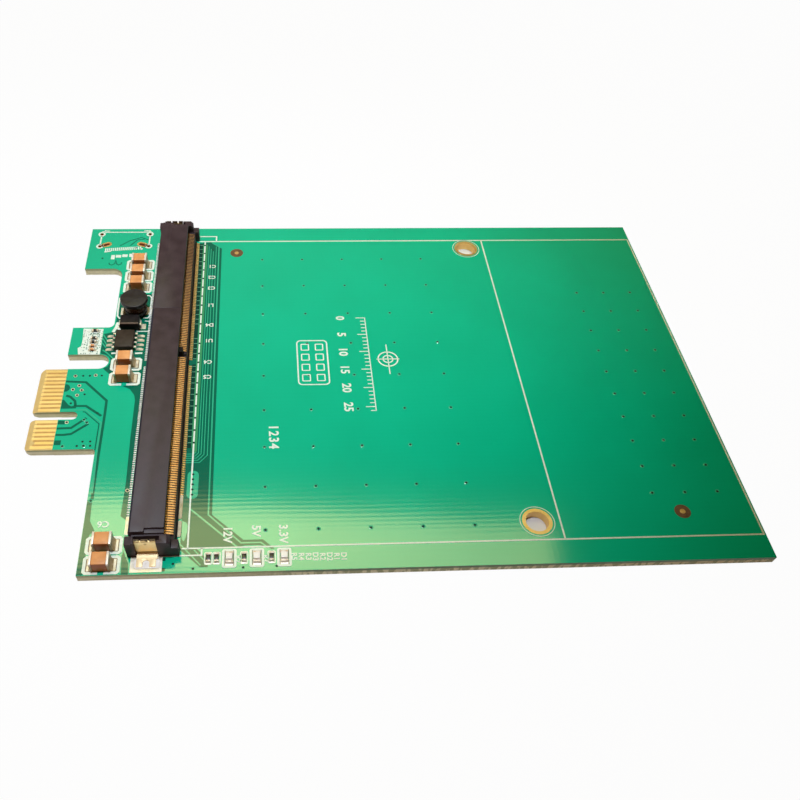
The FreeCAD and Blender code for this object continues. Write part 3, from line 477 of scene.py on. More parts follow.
def add_all(name, finish, top, outlines=(), runs=()):
    """Piece of flat plates and lines under the mask, the lines given with their widths."""
    shell = bmesh.new()
    for outline in outlines:
        add_prism(shell, outline, SUNK, top)
    for run, width in runs:
        add_line(shell, run, width, SUNK, top)
    close_piece(name, shell, finish, "board_mask")


CLEARANCE_IOR = 1.45
clearance_finish = mask_finish("mask_on_bare_laminate", (0.001, 0.115, 0.065), (0.001, 0.155, 0.090),
                               CLEARANCE_IOR)
track_finish = mask_finish("mask_on_copper_track", (0.018, 0.41, 0.215), (0.030, 0.50, 0.285))
SLOT_BAND = [(23.45, 76.4), (26.7, 76.9), (29.3, 74.6), (29.3, 1.9), (34.7, -3.3), (38.0, -3.3),
             (39.9, -5.2), (39.0, -5.2), (37.5, -4.4), (34.9, -4.4), (34.2, -4.7), (24.2, -4.7),
             (24.2, 5.8), (23.45, 6.0)]
BACK_BAND = [(15.2, 32.4), (11.0, 32.4), (12.6, 31.45), (13.55, 29.9), (13.8, 28.6), (13.8, 19.6),
             (13.97, 9.1), (13.75, 2.0), (15.0, 1.0), (15.0, 7.0)]
CORNER_BAND = [(14.94, -4.7), (15.05, -5.25), (15.9, -7.25), (16.1, -9.35), (14.9, -9.35), (14.7, -6.0)]
LED_BAND = [(24.2, -4.75), (26.9, -4.75), (28.9, -7.0), (28.9, -8.35), (27.6, -8.35), (24.2, -4.95)]
SUPPLY_FIELD = [(5.8, 46.9), (7.6, 47.5), (8.15, 48.7), (8.0, 51.0), (7.9, 59.2), (15.2, 59.2),
                (15.2, 32.4), (12.9, 32.4), (8.2, 35.6), (6.8, 37.1), (7.6, 37.7), (8.0, 38.6),
                (8.0, 39.5), (7.6, 40.4), (6.8, 41.0), (6.0, 41.2), (5.8, 41.6)]
LEFT_BAND = [(7.75, 5.5), (8.55, 5.5), (8.7, 1.2), (9.7, -0.8), (8.95, -1.6), (8.7, -9.3), (7.75, -9.3)]
TAB_FIELD = [(0.1, 23.75), (1.28, 23.7), (1.4, 22.8), (0.1, 22.84)]
PAD_FIELD = [(0.1, 28.98), (0.47, 28.9), (1.32, 27.75), (1.95, 27.3), (2.39, 27.4), (2.39, 27.09),
             (2.95, 27.09), (2.95, 26.75), (0.1, 26.7)]
FINGER_FIELD = [(0.1, 33.05), (0.55, 32.95), (0.95, 32.6), (1.15, 32.05), (0.95, 31.45), (0.55, 31.1),
                (0.1, 31.0)]
END_FIELD = corners_of(0.1, 1.3, 17.9, 19.0)
GAP_WIDTH = 0.5
GAPS = [
    [(0.1, 33.76), (3.95, 33.5), (8.45, 28.6), (8.5, 25.5), (8.45, 16.0), (8.5, 5.6)],
    [(2.4, 27.35), (4.75, 27.3), (7.9, 24.75)],
    [(0.66, 30.05), (1.49, 29.72), (2.49, 28.62), (2.75, 27.5)],
    [(0.1, 21.83), (2.68, 21.91), (5.2, 24.3)],
    [(0.1, 20.3), (1.49, 20.28), (2.88, 20.47), (5.75, 22.9)],
]
THIN_GAP = 0.22
THIN_GAPS = [
    [(6.25, 75.8), (8.3, 77.6), (10.85, 78.8), (12.6, 77.9)],
    [(8.5, 75.75), (10.0, 77.9), (11.6, 78.2)],
    [(4.4, 69.8), (4.6, 69.2), (5.1, 69.0), (5.7, 69.4), (5.85, 70.7), (6.1, 69.4), (6.6, 69.0),
     (7.1, 69.3), (7.2, 69.9)],
    [(4.3, 25.85), (4.75, 25.8), (7.7, 22.8), (7.68, 16.5)],
]
add_all("laminate_clearances", clearance_finish, CLEARANCE_TOP,
        (SLOT_BAND, BACK_BAND, CORNER_BAND, LEFT_BAND, LED_BAND, SUPPLY_FIELD, TAB_FIELD, PAD_FIELD,
         FINGER_FIELD, END_FIELD),
        [(run, GAP_WIDTH) for run in GAPS] + [(run, THIN_GAP) for run in THIN_GAPS])

LAND_NOTCHES = [corners_of(21.35, 21.95, y - 0.6, y) for y in (-6.4, -8.35)]
pocket_finish = mask_finish("mask_in_deep_gap", (0.001, 0.035, 0.024), (0.001, 0.055, 0.036), CLEARANCE_IOR)
add_all("tail_pockets", pocket_finish, POCKET_TOP,
        (rounded(24.25, 25.03, 16.6, 37.9, 0.1), rounded(24.25, 25.03, 39.3, 76.2, 0.1), *LAND_NOTCHES))

LINK_WIDTH = 0.13
LINK_YS = [17.87 + 1.5 * i for i in range(14)]
LINK_YS += [39.5 + 1.45 * i for i in range(26) if i not in (5, 6)]
link_finish = mask_finish("mask_on_link", (0.10, 0.36, 0.22), (0.15, 0.44, 0.28))
add_all("tail_links", link_finish, TRACK_TOP, (), [([(24.3, y), (25.03, y)], LINK_WIDTH) for y in LINK_YS])

GUARD_STRIP = [(25.03, 76.0), (26.1, 76.0), (26.1, 15.9), (25.7, 15.4), (25.3, 15.4), (25.03, 17.4)]
guard_finish = mask_finish("mask_on_guard", (0.03, 0.26, 0.10), (0.045, 0.33, 0.14))
add_all("guard_copper", guard_finish, TRACK_TOP, [GUARD_STRIP])

TRACK_WIDTH = 0.15
BUS_XS = (26.42, 26.9, 27.43, 28.04)
BUS_END = 75.4
BUS_STEP = 0.9
BUS_TURN = 14.74
POWER_LEAF = [(24.3, 0.75), (25.0, 0.4), (25.25, -0.2), (25.2, -1.6), (24.95, -2.8), (24.7, -3.36),
              (24.45, -3.0), (24.3, -2.4)]
TRACKS = []
for index, x in enumerate(BUS_XS):
    turn = BUS_TURN - 0.49 * index
    slope = 0.6 + 0.24 * index
    TRACKS.append(([(x, BUS_END - BUS_STEP * (index % 3)), (x, turn + 1.2 * slope), (x - slope, turn),
                    (24.2, turn)], TRACK_WIDTH))
TRACKS += [
    ([(26.0, 15.6), (25.6, 15.23), (24.2, 15.23)], TRACK_WIDTH),
    ([(27.1, 76.6), (28.66, 75.2), (28.66, 1.9), (34.3, -3.9), (37.6, -3.9), (39.6, -5.6)], 0.26),
    ([(25.5, 3.2), (34.0, -5.0)], 0.3),
    ([(24.2, -3.9), (27.7, -8.0)], 0.22),
    ([(26.5, -5.05), (28.3, -7.1)], 0.2),
    ([(0.3, 26.25), (4.85, 26.3), (8.1, 23.05), (8.07, 16.1), (8.36, 6.95)], 0.3),
    ([(5.8, 46.75), (6.95, 44.8)], 0.26),
    ([(5.8, 45.6), (6.8, 43.8)], 0.26),
    ([(5.8, 44.4), (6.75, 42.95)], 0.26),
    ([(6.15, 42.3), (7.05, 41.5), (8.5, 39.85)], 0.26),
]
add_all("copper_tracks", track_finish, TRACK_TOP, (POWER_LEAF, rounded(24.7, 26.7, 5.3, 11.4, 0.95)), TRACKS)

# Plated through vias.
# Drilled and plated through both faces, then covered by the mask, so that each is a low
# collar round a hole, drawn as a flat disc painted dark as its shade. They stitch the copper in
# two regular fields and beside tracks.


def new_tree(name, inputs):
    """Geometry node tree with named inputs, the outputs of its start and its end node."""
    tree = bpy.data.node_groups.new(name, "GeometryNodeTree")
    tree.interface.new_socket("Geometry", in_out="INPUT", socket_type="NodeSocketGeometry")
    for label, kind in inputs:
        tree.interface.new_socket(label, in_out="INPUT", socket_type=kind)
    tree.interface.new_socket("Geometry", in_out="OUTPUT", socket_type="NodeSocketGeometry")
    return tree, tree.nodes.new("NodeGroupInput").outputs, tree.nodes.new("NodeGroupOutput")


def end_tree(tree, result, instances, finish):
    """Closes a tree: the copies become one mesh with one finish."""
    real = add_node(tree, "GeometryNodeRealizeInstances", {0: instances})
    dressed = add_node(tree, "GeometryNodeSetMaterial", {"Geometry": real.outputs[0], "Material": finish})
    tree.links.new(dressed.outputs[0], result.inputs[0])


def plain_mesh(carrier):
    """Mesh of an object as its modifiers or its letters leave it. The object goes."""
    bpy.context.view_layer.update()
    depsgraph = bpy.context.evaluated_depsgraph_get()
    mesh = bpy.data.meshes.new_from_object(carrier.evaluated_get(depsgraph))
    carrier.modifiers.clear()
    bpy.data.objects.remove(carrier)
    return mesh


def grow(name, tree, values, base=None, smooth=None):
    """Runs a tree with its named values on a base mesh and keeps the result as a plain mesh."""
    carrier = link_new(name, base or bpy.data.meshes.new(name))
    growth = carrier.modifiers.new(name, "NODES")
    growth.node_group = tree
    for socket in tree.interface.items_tree:
        if socket.in_out == "INPUT" and socket.name in values:
            growth[socket.identifier] = values[socket.name]
    mesh = plain_mesh(carrier)
    mesh.name = name
    if smooth is not None:
        soften(mesh, smooth)
    return mesh


parts_on_places, given, result = new_tree(
    "parts_on_places", (("Part", "NodeSocketObject"), ("Finish", "NodeSocketMaterial")))
source = add_node(parts_on_places, "GeometryNodeObjectInfo", {"Object": given["Part"]})
copies = add_node(parts_on_places, "GeometryNodeInstanceOnPoints", {
    "Points": given["Geometry"], "Instance": source.outputs["Geometry"]})
end_tree(parts_on_places, result, copies.outputs[0], given["Finish"])


def set_on_places(name, part, places, finish, smooth):
    """Piece with a copy of a part at each place, given in millimetres on the board."""
    model = link_new(f"{name}_part", part)
    base = bpy.data.meshes.new(name)
    base.from_pydata([on_board(*place) - DATUM for place in places], [], [])
    mesh = grow(name, parts_on_places, {"Part": model, "Finish": finish}, base, smooth)
    bpy.data.objects.remove(model)
    new_piece(name, mesh, None, "board_mask")


ROUND = 40
VIA_SIDES = 12
VIA_TOP = 0.035
BORE_TOP = 0.02
ON_TRACK = 0.03
FIELD_A = [(38.44 + 9 * i, 70.53 - 9 * j) for i in range(5) for j in range(9)]
FIELD_B = [(107.61 + 6 * i, 28.45 - 6 * j) for i in range(3) for j in range(-5, 5)]
RINGED_VIAS = [(1.7, 35.2), (5.6, 35.3), (2.8, 32.6), (1.7, 31.6), (3.4, 31.4), (2.7, 30.1), (1.7, 23.3),
               (14.4, 7.4)]
TAB_VIAS = [(1.7, 17.6), (5.5, 17.6), (4.8, 23.9), (5.4, 23.2), (8.3, 5.4)]
SMALL_VIAS = [(1.8, 28.05), (3.2, 35.2), (4.5, 35.2), (6.8, 35.2), (4.1, 30.3), (7.1, 25.5), (5.2, 18.6),
              (6.6, 18.6), (4.3, 17.6), (6.7, 17.6), (26.5, -8.6), (34.7, -8.6), (40.2, -8.5),
              (23.2, -7.6), (27.2, 74.2), (2.8, 71.4), (9.2, -2.4), (9.0, -6.2)]
STITCH_X = 25.47
STITCH_YS = [17.87 + 3.0 * i for i in range(7)] + [38.45] + [40.95 + 2.9 * i for i in range(13)]
STITCH_VIAS = [(STITCH_X, y, ON_TRACK) for y in STITCH_YS]
OVAL_VIAS = [(25.7, 6.2 + 1.1 * i, ON_TRACK) for i in range(5)]
VIA_COLLAR = ((0.44, SUNK), (0.36, VIA_TOP), (0.25, VIA_TOP), (0.20, SUNK))
VIA_BORE = ((0.001, SUNK), (0.22, SUNK), (0.22, BORE_TOP), (0.001, 0.006))
UNDERSIDE = -(board_high.z - board_low.z) / MM


def add_lathe(shell, profile, x, y, sides):
    """Closed ring turned about an upright axis from a closed profile of radius and height."""
    turns = []
    for side in range(sides):
        angle = 2 * math.pi * side / sides
        turns.append([shell.verts.new(on_board(x + r * math.cos(angle), y + r * math.sin(angle), z))
                      for r, z in profile])
    add_skin(shell, turns, True)


def both_faces(name, profile, top):
    """Small turned part on the upper face, with its like on the lower face."""
    shell = bmesh.new()
    add_lathe(shell, profile, 0, 0, VIA_SIDES)
    add_lathe(shell, [(r, UNDERSIDE + top - max(z, 0)) for r, z in profile], 0, 0, VIA_SIDES)
    return close_mesh(name, shell, ROUND)


via_places = FIELD_A + FIELD_B + TAB_VIAS
set_on_places("via_collars", both_faces("via_collar", VIA_COLLAR, VIA_TOP), via_places, track_finish, ROUND)

BURR_SCALE = 2500.0
# Painted shade: each hole is a flat disc in near-black.
hole_shade_finish, tree, shader = new_finish("via_hole_painted_shade")
shader.inputs["Base Color"].default_value = (0.003, 0.028, 0.018, 1.0)
shader.inputs["Specular IOR Level"].default_value = 0.2
burr = add_node(tree, "ShaderNodeTexNoise", {
    "Vector": add_node(tree, "ShaderNodeTexCoord").outputs["Object"], "Scale": BURR_SCALE})
tree.links.new(ramp(tree, burr.outputs["Fac"], 0.0, 1.0, 0.55, 0.9), shader.inputs["Roughness"])
bore_places = via_places + SMALL_VIAS + STITCH_VIAS + OVAL_VIAS
bore_places += [(x, y, ON_TRACK) for x, y in RINGED_VIAS]
set_on_places("via_bores", both_faces("via_bore", VIA_BORE, BORE_TOP), bore_places, hole_shade_finish, ROUND)

# Gold on the board: edge fingers, hole rings and linings, and fiducial dots.
# Nickel and hard gold plated on bare copper, satin, with fine rubbing marks along the
# fingers. The barrels line the two mounting holes.

GRIT = 5.0
EVEN = (0.3, 0.7)
surface_grain, given, result = new_group(
    "surface_grain",
    (("Low", "NodeSocketColor"), ("High", "NodeSocketColor"), ("Scale", "NodeSocketFloat"),
     ("Stretch", "NodeSocketVector"), ("Smooth", "NodeSocketFloat"), ("Rough", "NodeSocketFloat")),
    (("Colour", "NodeSocketColor"), ("Roughness", "NodeSocketFloat"), ("Height", "NodeSocketFloat")))
place = add_node(surface_grain, "ShaderNodeTexCoord").outputs["Object"]
drawn = add_node(surface_grain, "ShaderNodeVectorMath", {0: place, 1: given["Stretch"]}, operation="MULTIPLY")
patches = add_node(surface_grain, "ShaderNodeTexNoise", {
    "Vector": drawn.outputs[0], "Scale": given["Scale"], "Detail": 4.0}).outputs["Fac"]
grit = add_node(surface_grain, "ShaderNodeTexNoise", {
    "Vector": drawn.outputs[0], "Scale": calc(surface_grain, "MULTIPLY", given["Scale"], GRIT),
    "Detail": 2.0}).outputs["Fac"]
even = ramp(surface_grain, patches, *EVEN)
worn = ramp(surface_grain, patches, *EVEN, given["Smooth"], given["Rough"])
surface_grain.links.new(mix(surface_grain, even, given["Low"], given["High"]), result["Colour"])
surface_grain.links.new(worn, result["Roughness"])
surface_grain.links.new(grit, result["Height"])


def grained(name, low, high, scale, smooth, rough, relief, metallic=0.0, stretch=(1, 1, 1), shine=None):
    """Finish with a grain of its own: two tints, a range of gloss and a fine relief in mm."""
    finish, tree, shader = new_finish(name)
    grain = add_node(tree, "ShaderNodeGroup", {
        "Low": (*low, 1.0), "High": (*high, 1.0), "Scale": scale, "Stretch": stretch,
        "Smooth": smooth, "Rough": rough}, node_tree=surface_grain)
    bump = add_node(tree, "ShaderNodeBump", {
        "Height": grain.outputs["Height"], "Distance": relief * MM, "Strength": 1.0})
    tree.links.new(grain.outputs["Colour"], shader.inputs["Base Color"])
    tree.links.new(grain.outputs["Roughness"], shader.inputs["Roughness"])
    tree.links.new(bump.outputs[0], shader.inputs["Normal"])
    shader.inputs["Metallic"].default_value = metallic
    if shine is not None:
        shader.inputs["Specular IOR Level"].default_value = shine
    return finish


finger_gold = grained("rubbed_finger_gold", (0.88, 0.63, 0.24), (0.97, 0.75, 0.33), 900, 0.36, 0.5,
                      0.002, 0.75, (0.12, 1, 1))
ring_gold = grained("satin_ring_gold", (0.84, 0.56, 0.19), (0.95, 0.68, 0.28), 700, 0.32, 0.45,
                    0.002, 0.8)
for node in ("edge_fingers_top", "edge_fingers_bottom"):
    dress(node, finger_gold)
dress("hole_rings", ring_gold)

FINGER_GAP = 0.42
FINGER_GAPS = [35.95 - step for step in range(10)] + [22.95 - step for step in range(6)]
gap_finish = grained("bare_laminate_strip", (0.52, 0.28, 0.065), (0.64, 0.36, 0.10), 1500, 0.45, 0.65,
                     0.004)
strips = bmesh.new()
for y in FINGER_GAPS:
    add_line(strips, [(-0.05, y), (-3.7, y)], FINGER_GAP, -0.07, -0.004)
close_piece("finger_strips", strips, gap_finish, "board_mask")

LINING_ENDS = (UNDERSIDE + 0.01, -0.01)
BARREL_RADII = (2.045, 1.99)
BARREL = [(r, z) for r, ends in zip(BARREL_RADII, (LINING_ENDS, LINING_ENDS[::-1])) for z in ends]
barrels = bmesh.new()
for x, y in HOLES:
    add_lathe(barrels, BARREL, x, y, 48)
close_piece("hole_barrels", barrels, ring_gold, "gold_plate", ROUND)

OUTLET_POSTS = ((1.75, 80.0), (12.7, 80.0), (1.75, 75.6), (12.7, 75.6))
OUTLET_SLOTS = ((3.2, 76.2, 1), (11.25, 76.2, -1))
SLOT_RUN = Vector((0.42, 0.18))
POST_RUN = Vector((0.001, 0))
OUTLET_RADIUS = 0.4
LINING = 0.06
LINING_RADIUS = OUTLET_RADIUS - 0.035


def oval(x, y, run, radius, steps=6):
    """Points round a slot with half-round ends, from its middle to each end along a run."""
    points = []
    start = math.atan2(run.y, run.x) - math.pi / 2
    for end in (1, -1):
        for step in range(steps + 1):
            angle = start + math.pi * step / steps + (0 if end > 0 else math.pi)
            points.append((x + end * run.x + radius * math.cos(angle),
                           y + end * run.y + radius * math.sin(angle)))
    return points


slot_rings = bmesh.new()
linings = bmesh.new()
for x, y, turn in OUTLET_SLOTS:
    run = Vector((SLOT_RUN.x, SLOT_RUN.y * turn))
    add_line(slot_rings, oval(x, y, run, OUTLET_RADIUS + 0.18), 0.36, SUNK, 0.04, True)
    add_line(linings, oval(x, y, run, LINING_RADIUS), LINING, *LINING_ENDS, True)
for x, y in OUTLET_POSTS:
    add_line(linings, oval(x, y, POST_RUN, LINING_RADIUS), LINING, *LINING_ENDS, True)
close_piece("outlet_slot_rings", slot_rings, ring_gold, "gold_plate", ROUND)
lining_finish = grained("drilled_laminate", (0.42, 0.12, 0.035), (0.60, 0.20, 0.07), 1500, 0.4, 0.6, 0.004)
close_piece("outlet_hole_linings", linings, lining_finish, "board_mask", ROUND)

FIDUCIALS = ((32.7, 73.0), (111.8, 0.35))
CLEARING = ((0.45, SUNK), (1.45, SUNK), (1.42, 0.02), (0.45, 0.012))
DOT = ((0.001, SUNK), (0.52, SUNK), (0.48, 0.05), (0.001, 0.055))
clearing_finish = grained("bare_laminate_ring", (0.10, 0.05, 0.02), (0.18, 0.09, 0.035), 1500,
                          0.35, 0.6, 0.004)
clearings = bmesh.new()
dots = bmesh.new()
for x, y in FIDUCIALS:
    add_lathe(clearings, CLEARING, x, y, 32)
    add_lathe(dots, DOT, x, y, 24)
close_piece("fiducial_clearings", clearings, clearing_finish, "board_mask", ROUND)
close_piece("fiducial_dots", dots, ring_gold, "gold_plate", ROUND)

# Printed marks.
# White ink screened on the mask: the outline of the module, frames round the parts, part
# numbers, voltages, a white field on the small tab, and a plain scale with a target.
INK_TOP = 0.04
LAND_INK_TOP = 0.062
FINE = 0.16
LINE = 0.28
CAP_SHARE = 0.7
BOLD = 0.035
DOWN = -90
ink = bmesh.new()


def ink_line(points, width, closed=False, top=INK_TOP):
    """Printed line of one width."""
    add_line(ink, points, width, SUNK, top, closed)


def ink_words(words, x, y, size, turn=DOWN):
    """Flat printed characters of a cap height in millimetres, turned by degrees."""
    letters = bpy.data.curves.new("print", "FONT")
    letters.body = words
    letters.size = size / CAP_SHARE
    letters.align_x = "CENTER"
    letters.align_y = "CENTER"
    letters.resolution_u = 3
    letters.extrude = (INK_TOP - SUNK) / 2
    letters.offset = BOLD * size
    mesh = plain_mesh(link_new("print", letters))
    move = Matrix.Translation(on_board(x, y, (INK_TOP + SUNK) / 2))
    mesh.transform(move @ Matrix.Rotation(math.radians(turn), 4, "Z") @ Matrix.Scale(MM, 4))
    ink.from_mesh(mesh)
    bpy.data.curves.remove(letters)
    bpy.data.meshes.remove(mesh)


def around(x, y, wide, tall, radius, steps):
    """Points round a rectangle with round corners about a middle."""
    return rounded(x - wide / 2, x + wide / 2, y - tall / 2, y + tall / 2, radius, steps)


def ring(x, y, radius, sides=24):
    """Points round a circle."""
    return [(x + radius * math.cos(2 * math.pi * i / sides),
             y + radius * math.sin(2 * math.pi * i / sides)) for i in range(sides)]


MODULE_LINES = [
    [(24.0, 77.15), (124.5, 77.15), (124.5, -4.75), (24.5, -4.75)],
    [(89.5, 77.15), (89.5, -4.75)],
    [(24.2, 79.0), (28.0, 79.0), (28.0, 77.2)],
    [(21.5, -6.1), (27.8, -6.1), (27.8, -4.7)],
    [(STITCH_X, 17.65), (25.45, -4.75)],
]
STITCH_BREAK = 0.22
STITCH_END = 77.3
for run in MODULE_LINES:
    ink_line(run, LINE)
for low, high in zip(STITCH_YS, STITCH_YS[1:] + [STITCH_END]):
    ink_line([(STITCH_X, low + STITCH_BREAK), (STITCH_X, high - STITCH_BREAK)], LINE)
for x, y in HOLES:
    ink_line(ring(x, y, 3.02, 48), 0.12, True)

CAP_FRAMES = [(11.5, 68.8), (11.5, 65.05), (11.5, 61.3), (11.25, 38.15), (11.3, 34.2), (11.6, -3.75),
              (11.6, -7.5)]
CAP_FRAME = ((0.5, 1.5), (2.5, 1.5), (2.8, 1.2), (2.8, -1.2), (2.5, -1.5), (0.5, -1.5))
for x, y in CAP_FRAMES:
    for side in (-1, 1):
        ink_line([(x + side * out, y + up) for out, up in CAP_FRAME], 0.52, False, LAND_INK_TOP)
PART_FRAMES = [
    ([(8.0, 58.0), (8.0, 54.2), (8.1, 52.3), (8.55, 51.6), (9.05, 51.6)], 0.34),
    ([(13.4, 51.6), (14.4, 51.6), (14.75, 52.2), (14.75, 58.0), (14.3, 58.6), (13.4, 58.6)], 0.26),
    ([(8.45, 50.35), (8.2, 48.9), (7.7, 47.4)], 0.6),
    ([(8.5, 48.45), (9.3, 48.2)], 0.4),
    ([(13.9, 50.7), (14.8, 50.6), (14.9, 49.9)], 0.2),
    ([(12.45, 47.57), (15.0, 47.57)], 0.22),
    ([(12.7, 41.2), (14.15, 41.25)], 0.42),
    ([(8.0, 41.3), (8.9, 41.3)], 0.4),
]
for run, width in PART_FRAMES:
    ink_line(run, width, False, LAND_INK_TOP)

LED_XS = (32.4, 36.95, 41.5)
RESISTOR_XS = (28.95, 30.3, 34.85, 39.4)
LED_Y = -6.75
VOLTAGES = (("12V", 32.0, -2.2), ("5V", 36.8, -1.6), ("3.3V", 41.4, -2.3))
LED_NUMBERS = ("R5", "R4", "R3", "D3", "R2", "D2", "R1", "D1")
SLOT_NUMBERS = (("C1", 68.3), ("C2", 64.6), ("C3", 61.0), ("L1", 55.45), ("D4", 49.35), ("U1", 44.7),
                ("C4", 38.6), ("C5", 34.5))
for x in LED_XS:
    ink_line(around(x, LED_Y - 0.1, 2.0, 3.16, 0.2, 2), 0.42, True, LAND_INK_TOP)
for x in RESISTOR_XS:
    ink_line(around(x, LED_Y, 1.2, 2.24, 0.2, 2), 0.17, True)
for words, x, y in VOLTAGES:
    ink_words(words, x, y, 1.45)
for index, words in enumerate(LED_NUMBERS):
    ink_words(words, 43.1 + 1.18 * index, -6.8 - 0.035 * index, 0.92)
for x, words in ((33.8, "R2"), (38.35, "R3")):
    ink_words(words, x, -7.0, 0.85)
for words, y in SLOT_NUMBERS:
    ink_words(words, 27.35, y, 0.95, 180)
ink_words("C6", 11.0, 0.5, 1.2, 180)

# Field for inspection marks, scale in millimetres and target
SCALE_X = 59.9
SCALE_TOP = 51.0
TARGET = (63.6, 38.75)
ink_line(rounded(45.3, 51.4, 32.0, 44.3, 0.8), 0.26, True)
for row in range(4):
    for column in range(2):
        ink_line(around(46.9 + 2.9 * column, 42.4 - 2.85 * row, 1.5, 1.7, 0.1, 1), 0.22, True)
for step in range(27):
    long = 1.9 if step % 5 == 0 else 1.0
    ink_line([(SCALE_X, SCALE_TOP - step), (SCALE_X - long, SCALE_TOP - step)], 0.2)
ink_line([(SCALE_X, SCALE_TOP + 0.1), (SCALE_X, SCALE_TOP - 26.1)], 0.2)
for step in range(6):
    ink_words(str(5 * step), 54.6, SCALE_TOP - 5 * step, 1.7)
for radius in (1.0, 2.0):
    ink_line(ring(*TARGET, radius), 0.26, True)
for run in ([(63.6, 42.9), (63.6, 34.6)], [(61.3, 38.75), (65.9, 38.75)]):
    ink_line(run, 0.22)
for index, words in enumerate("1234"):
    ink_words(words, 40.1, 21.2 - 1.5 * index, 1.75)

# Footprint of an outlet on the far tab
OUTLET_LINES = [
    ([(1.75, 79.4), (1.75, 76.2)], LINE), ([(12.75, 79.4), (12.75, 76.2)], LINE),
    ([(2.3, 80.75), (12.2, 80.75)], LINE), ([(2.2, 81.3), (3.4, 81.2)], LINE),
    ([(11.3, 81.2), (12.7, 81.3)], LINE), ([(1.6, 81.0), (2.4, 81.0)], FINE),
    ([(12.2, 81.0), (13.0, 81.0)], FINE),
]
OUTLET_PADS = 19
OUTLET_BLOCKS = ((5.1, 71.7, 0.8, 1.5), (6.3, 72.0, 1.2, 0.9), (7.7, 72.2, 1.2, 0.9),
                 (9.1, 72.3, 0.9, 1.1), (9.9, 75.0, 0.5, 0.5), (11.2, 74.6, 0.5, 0.5))
for run, width in OUTLET_LINES:
    ink_line(run, width)
for x, y in OUTLET_POSTS:
    ink_line(ring(x, y, OUTLET_RADIUS + 0.24), 0.36, True)
for index in range(OUTLET_PADS):
    x = 3.2 + index * 0.43
    y = 74.35 + 0.035 * index
    ink_line([(x, y + 0.5), (x, y - 0.55)], 0.27)
ink_line([(3.0, 73.6), (4.4, 73.9)], 0.4)
for block in OUTLET_BLOCKS:
    add_prism(ink, around(*block, 0.1, 1), SUNK, INK_TOP)

# White field on the small tab, crowded with small gaps
FIELD_OUTLINE = [(1.58, 48.6), (1.81, 45.26), (1.75, 43.4), (1.12, 42.9), (1.43, 41.07), (5.72, 41.0),
                 (5.66, 48.45)]
FIELD_SEED = 11
FIELD_STEP = 0.45
FIELD_DRIFT = 0.08
FIELD_SHARE = 0.6
SPECK_TOP = INK_TOP + 0.006
add_prism(ink, FIELD_OUTLINE, SUNK, INK_TOP)
draw = random.Random(FIELD_SEED)
specks = bmesh.new()
for column in range(9):
    for row in range(16):
        x = 1.95 + FIELD_STEP * column + draw.uniform(-FIELD_DRIFT, FIELD_DRIFT)
        y = 41.3 + FIELD_STEP * row + draw.uniform(-FIELD_DRIFT, FIELD_DRIFT)
        long = draw.uniform(0.05, 0.16)
        wide = draw.uniform(0.10, 0.24)
        if draw.random() < FIELD_SHARE:
            add_line(specks, [(x - long, y), (x + long, y)], wide, SUNK, SPECK_TOP)
for y in (47.55, 46.45, 44.3, 42.7):
    add_line(specks, ring(4.3, y, 0.72, 20), 0.1, SUNK, SPECK_TOP, True)
close_piece("tab_specks", specks, clearance_finish, "board_mask")
ink_finish = grained("screened_white_ink", (0.70, 0.80, 0.70), (0.84, 0.92, 0.83), 1800, 0.16, 0.28, 0.004)
close_piece("printed_marks", ink, ink_finish, "board_mask")

# Solder lands and fillets.
# Tinned copper lands with reflowed solder, which climbs each metal end in a hollow fillet.
# Bright tin, slightly cloudy where the flux has dried.
tin_finish = grained("reflowed_tin", (0.66, 0.60, 0.46), (0.84, 0.79, 0.66), 1400, 0.28, 0.5, 0.006, 0.45)
dress("solder_lands", tin_finish)
FILLET_BACK = 0.05
FILLET_WIDTH = 0.94


def add_fillet(shell, foot, out, width, rise, reach, steps=5):
    """Hollow wedge of solder from a metal end down to its land."""
    side = Vector((-out.y, out.x, 0))
    profile = []
    for step in range(steps + 1):
        angle = math.pi / 2 * step / steps
        profile.append((reach * (1 - math.sin(angle)), rise * (1 - math.cos(angle))))
    profile += [(-FILLET_BACK * rise, rise), (-FILLET_BACK * rise, 0.0)]
    add_skin(shell, [[shell.verts.new(foot + out * (away * MM) + side * (sign * width / 2)
                                      + Vector((0, 0, up * MM))) for away, up in profile]
                     for sign in (-1, 1)])


CAPACITORS = [f"capacitor_{n}" for n in range(1, 8)]
LEDS = [f"led_{n}" for n in (1, 2, 3)]
LED_RESISTORS = [f"led_resistor_{n}" for n in (1, 2, 3, 4)]
TAB_CHIPS = ["tab_capacitor_1", "tab_capacitor_2", "tab_resistor_1", "tab_resistor_2", "tab_resistor_3"]
FILLETS = ((CAPACITORS, 1.0, 0.38, Vector((1, 0, 0))), (LEDS, 0.3, 0.35, Vector((0, 1, 0))),
           (LED_RESISTORS, 0.3, 0.28, Vector((0, 1, 0))), (TAB_CHIPS, 0.3, 0.25, Vector((1, 0, 0))))
fillets = bmesh.new()
shaded_fillets = bmesh.new()
for chips, rise, reach, way in FILLETS:
    for chip in chips:
        low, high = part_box(f"{chip}_ends")
        middle = (low + high) / 2
        half = (high - low) / 2
        width = 2 * (half.y if way.x else half.x) * FILLET_WIDTH
        for sign in (-1, 1):
            foot = Vector((middle.x, middle.y, low.z)) + way * (sign * half.dot(way))
            shell = shaded_fillets if chips is CAPACITORS else fillets
            add_fillet(shell, foot, way * sign, width, rise, reach)
for y in (46.2, 45.0, 43.65, 42.4):
    for x_low, x_high in ((6.85, 7.95), (12.8, 14.1)):
        add_prism(fillets, rounded(x_low, x_high, y - 0.31, y + 0.31, 0.3), SUNK, 0.08)
close_piece("solder_fillets", fillets, tin_finish, "tin", 50)
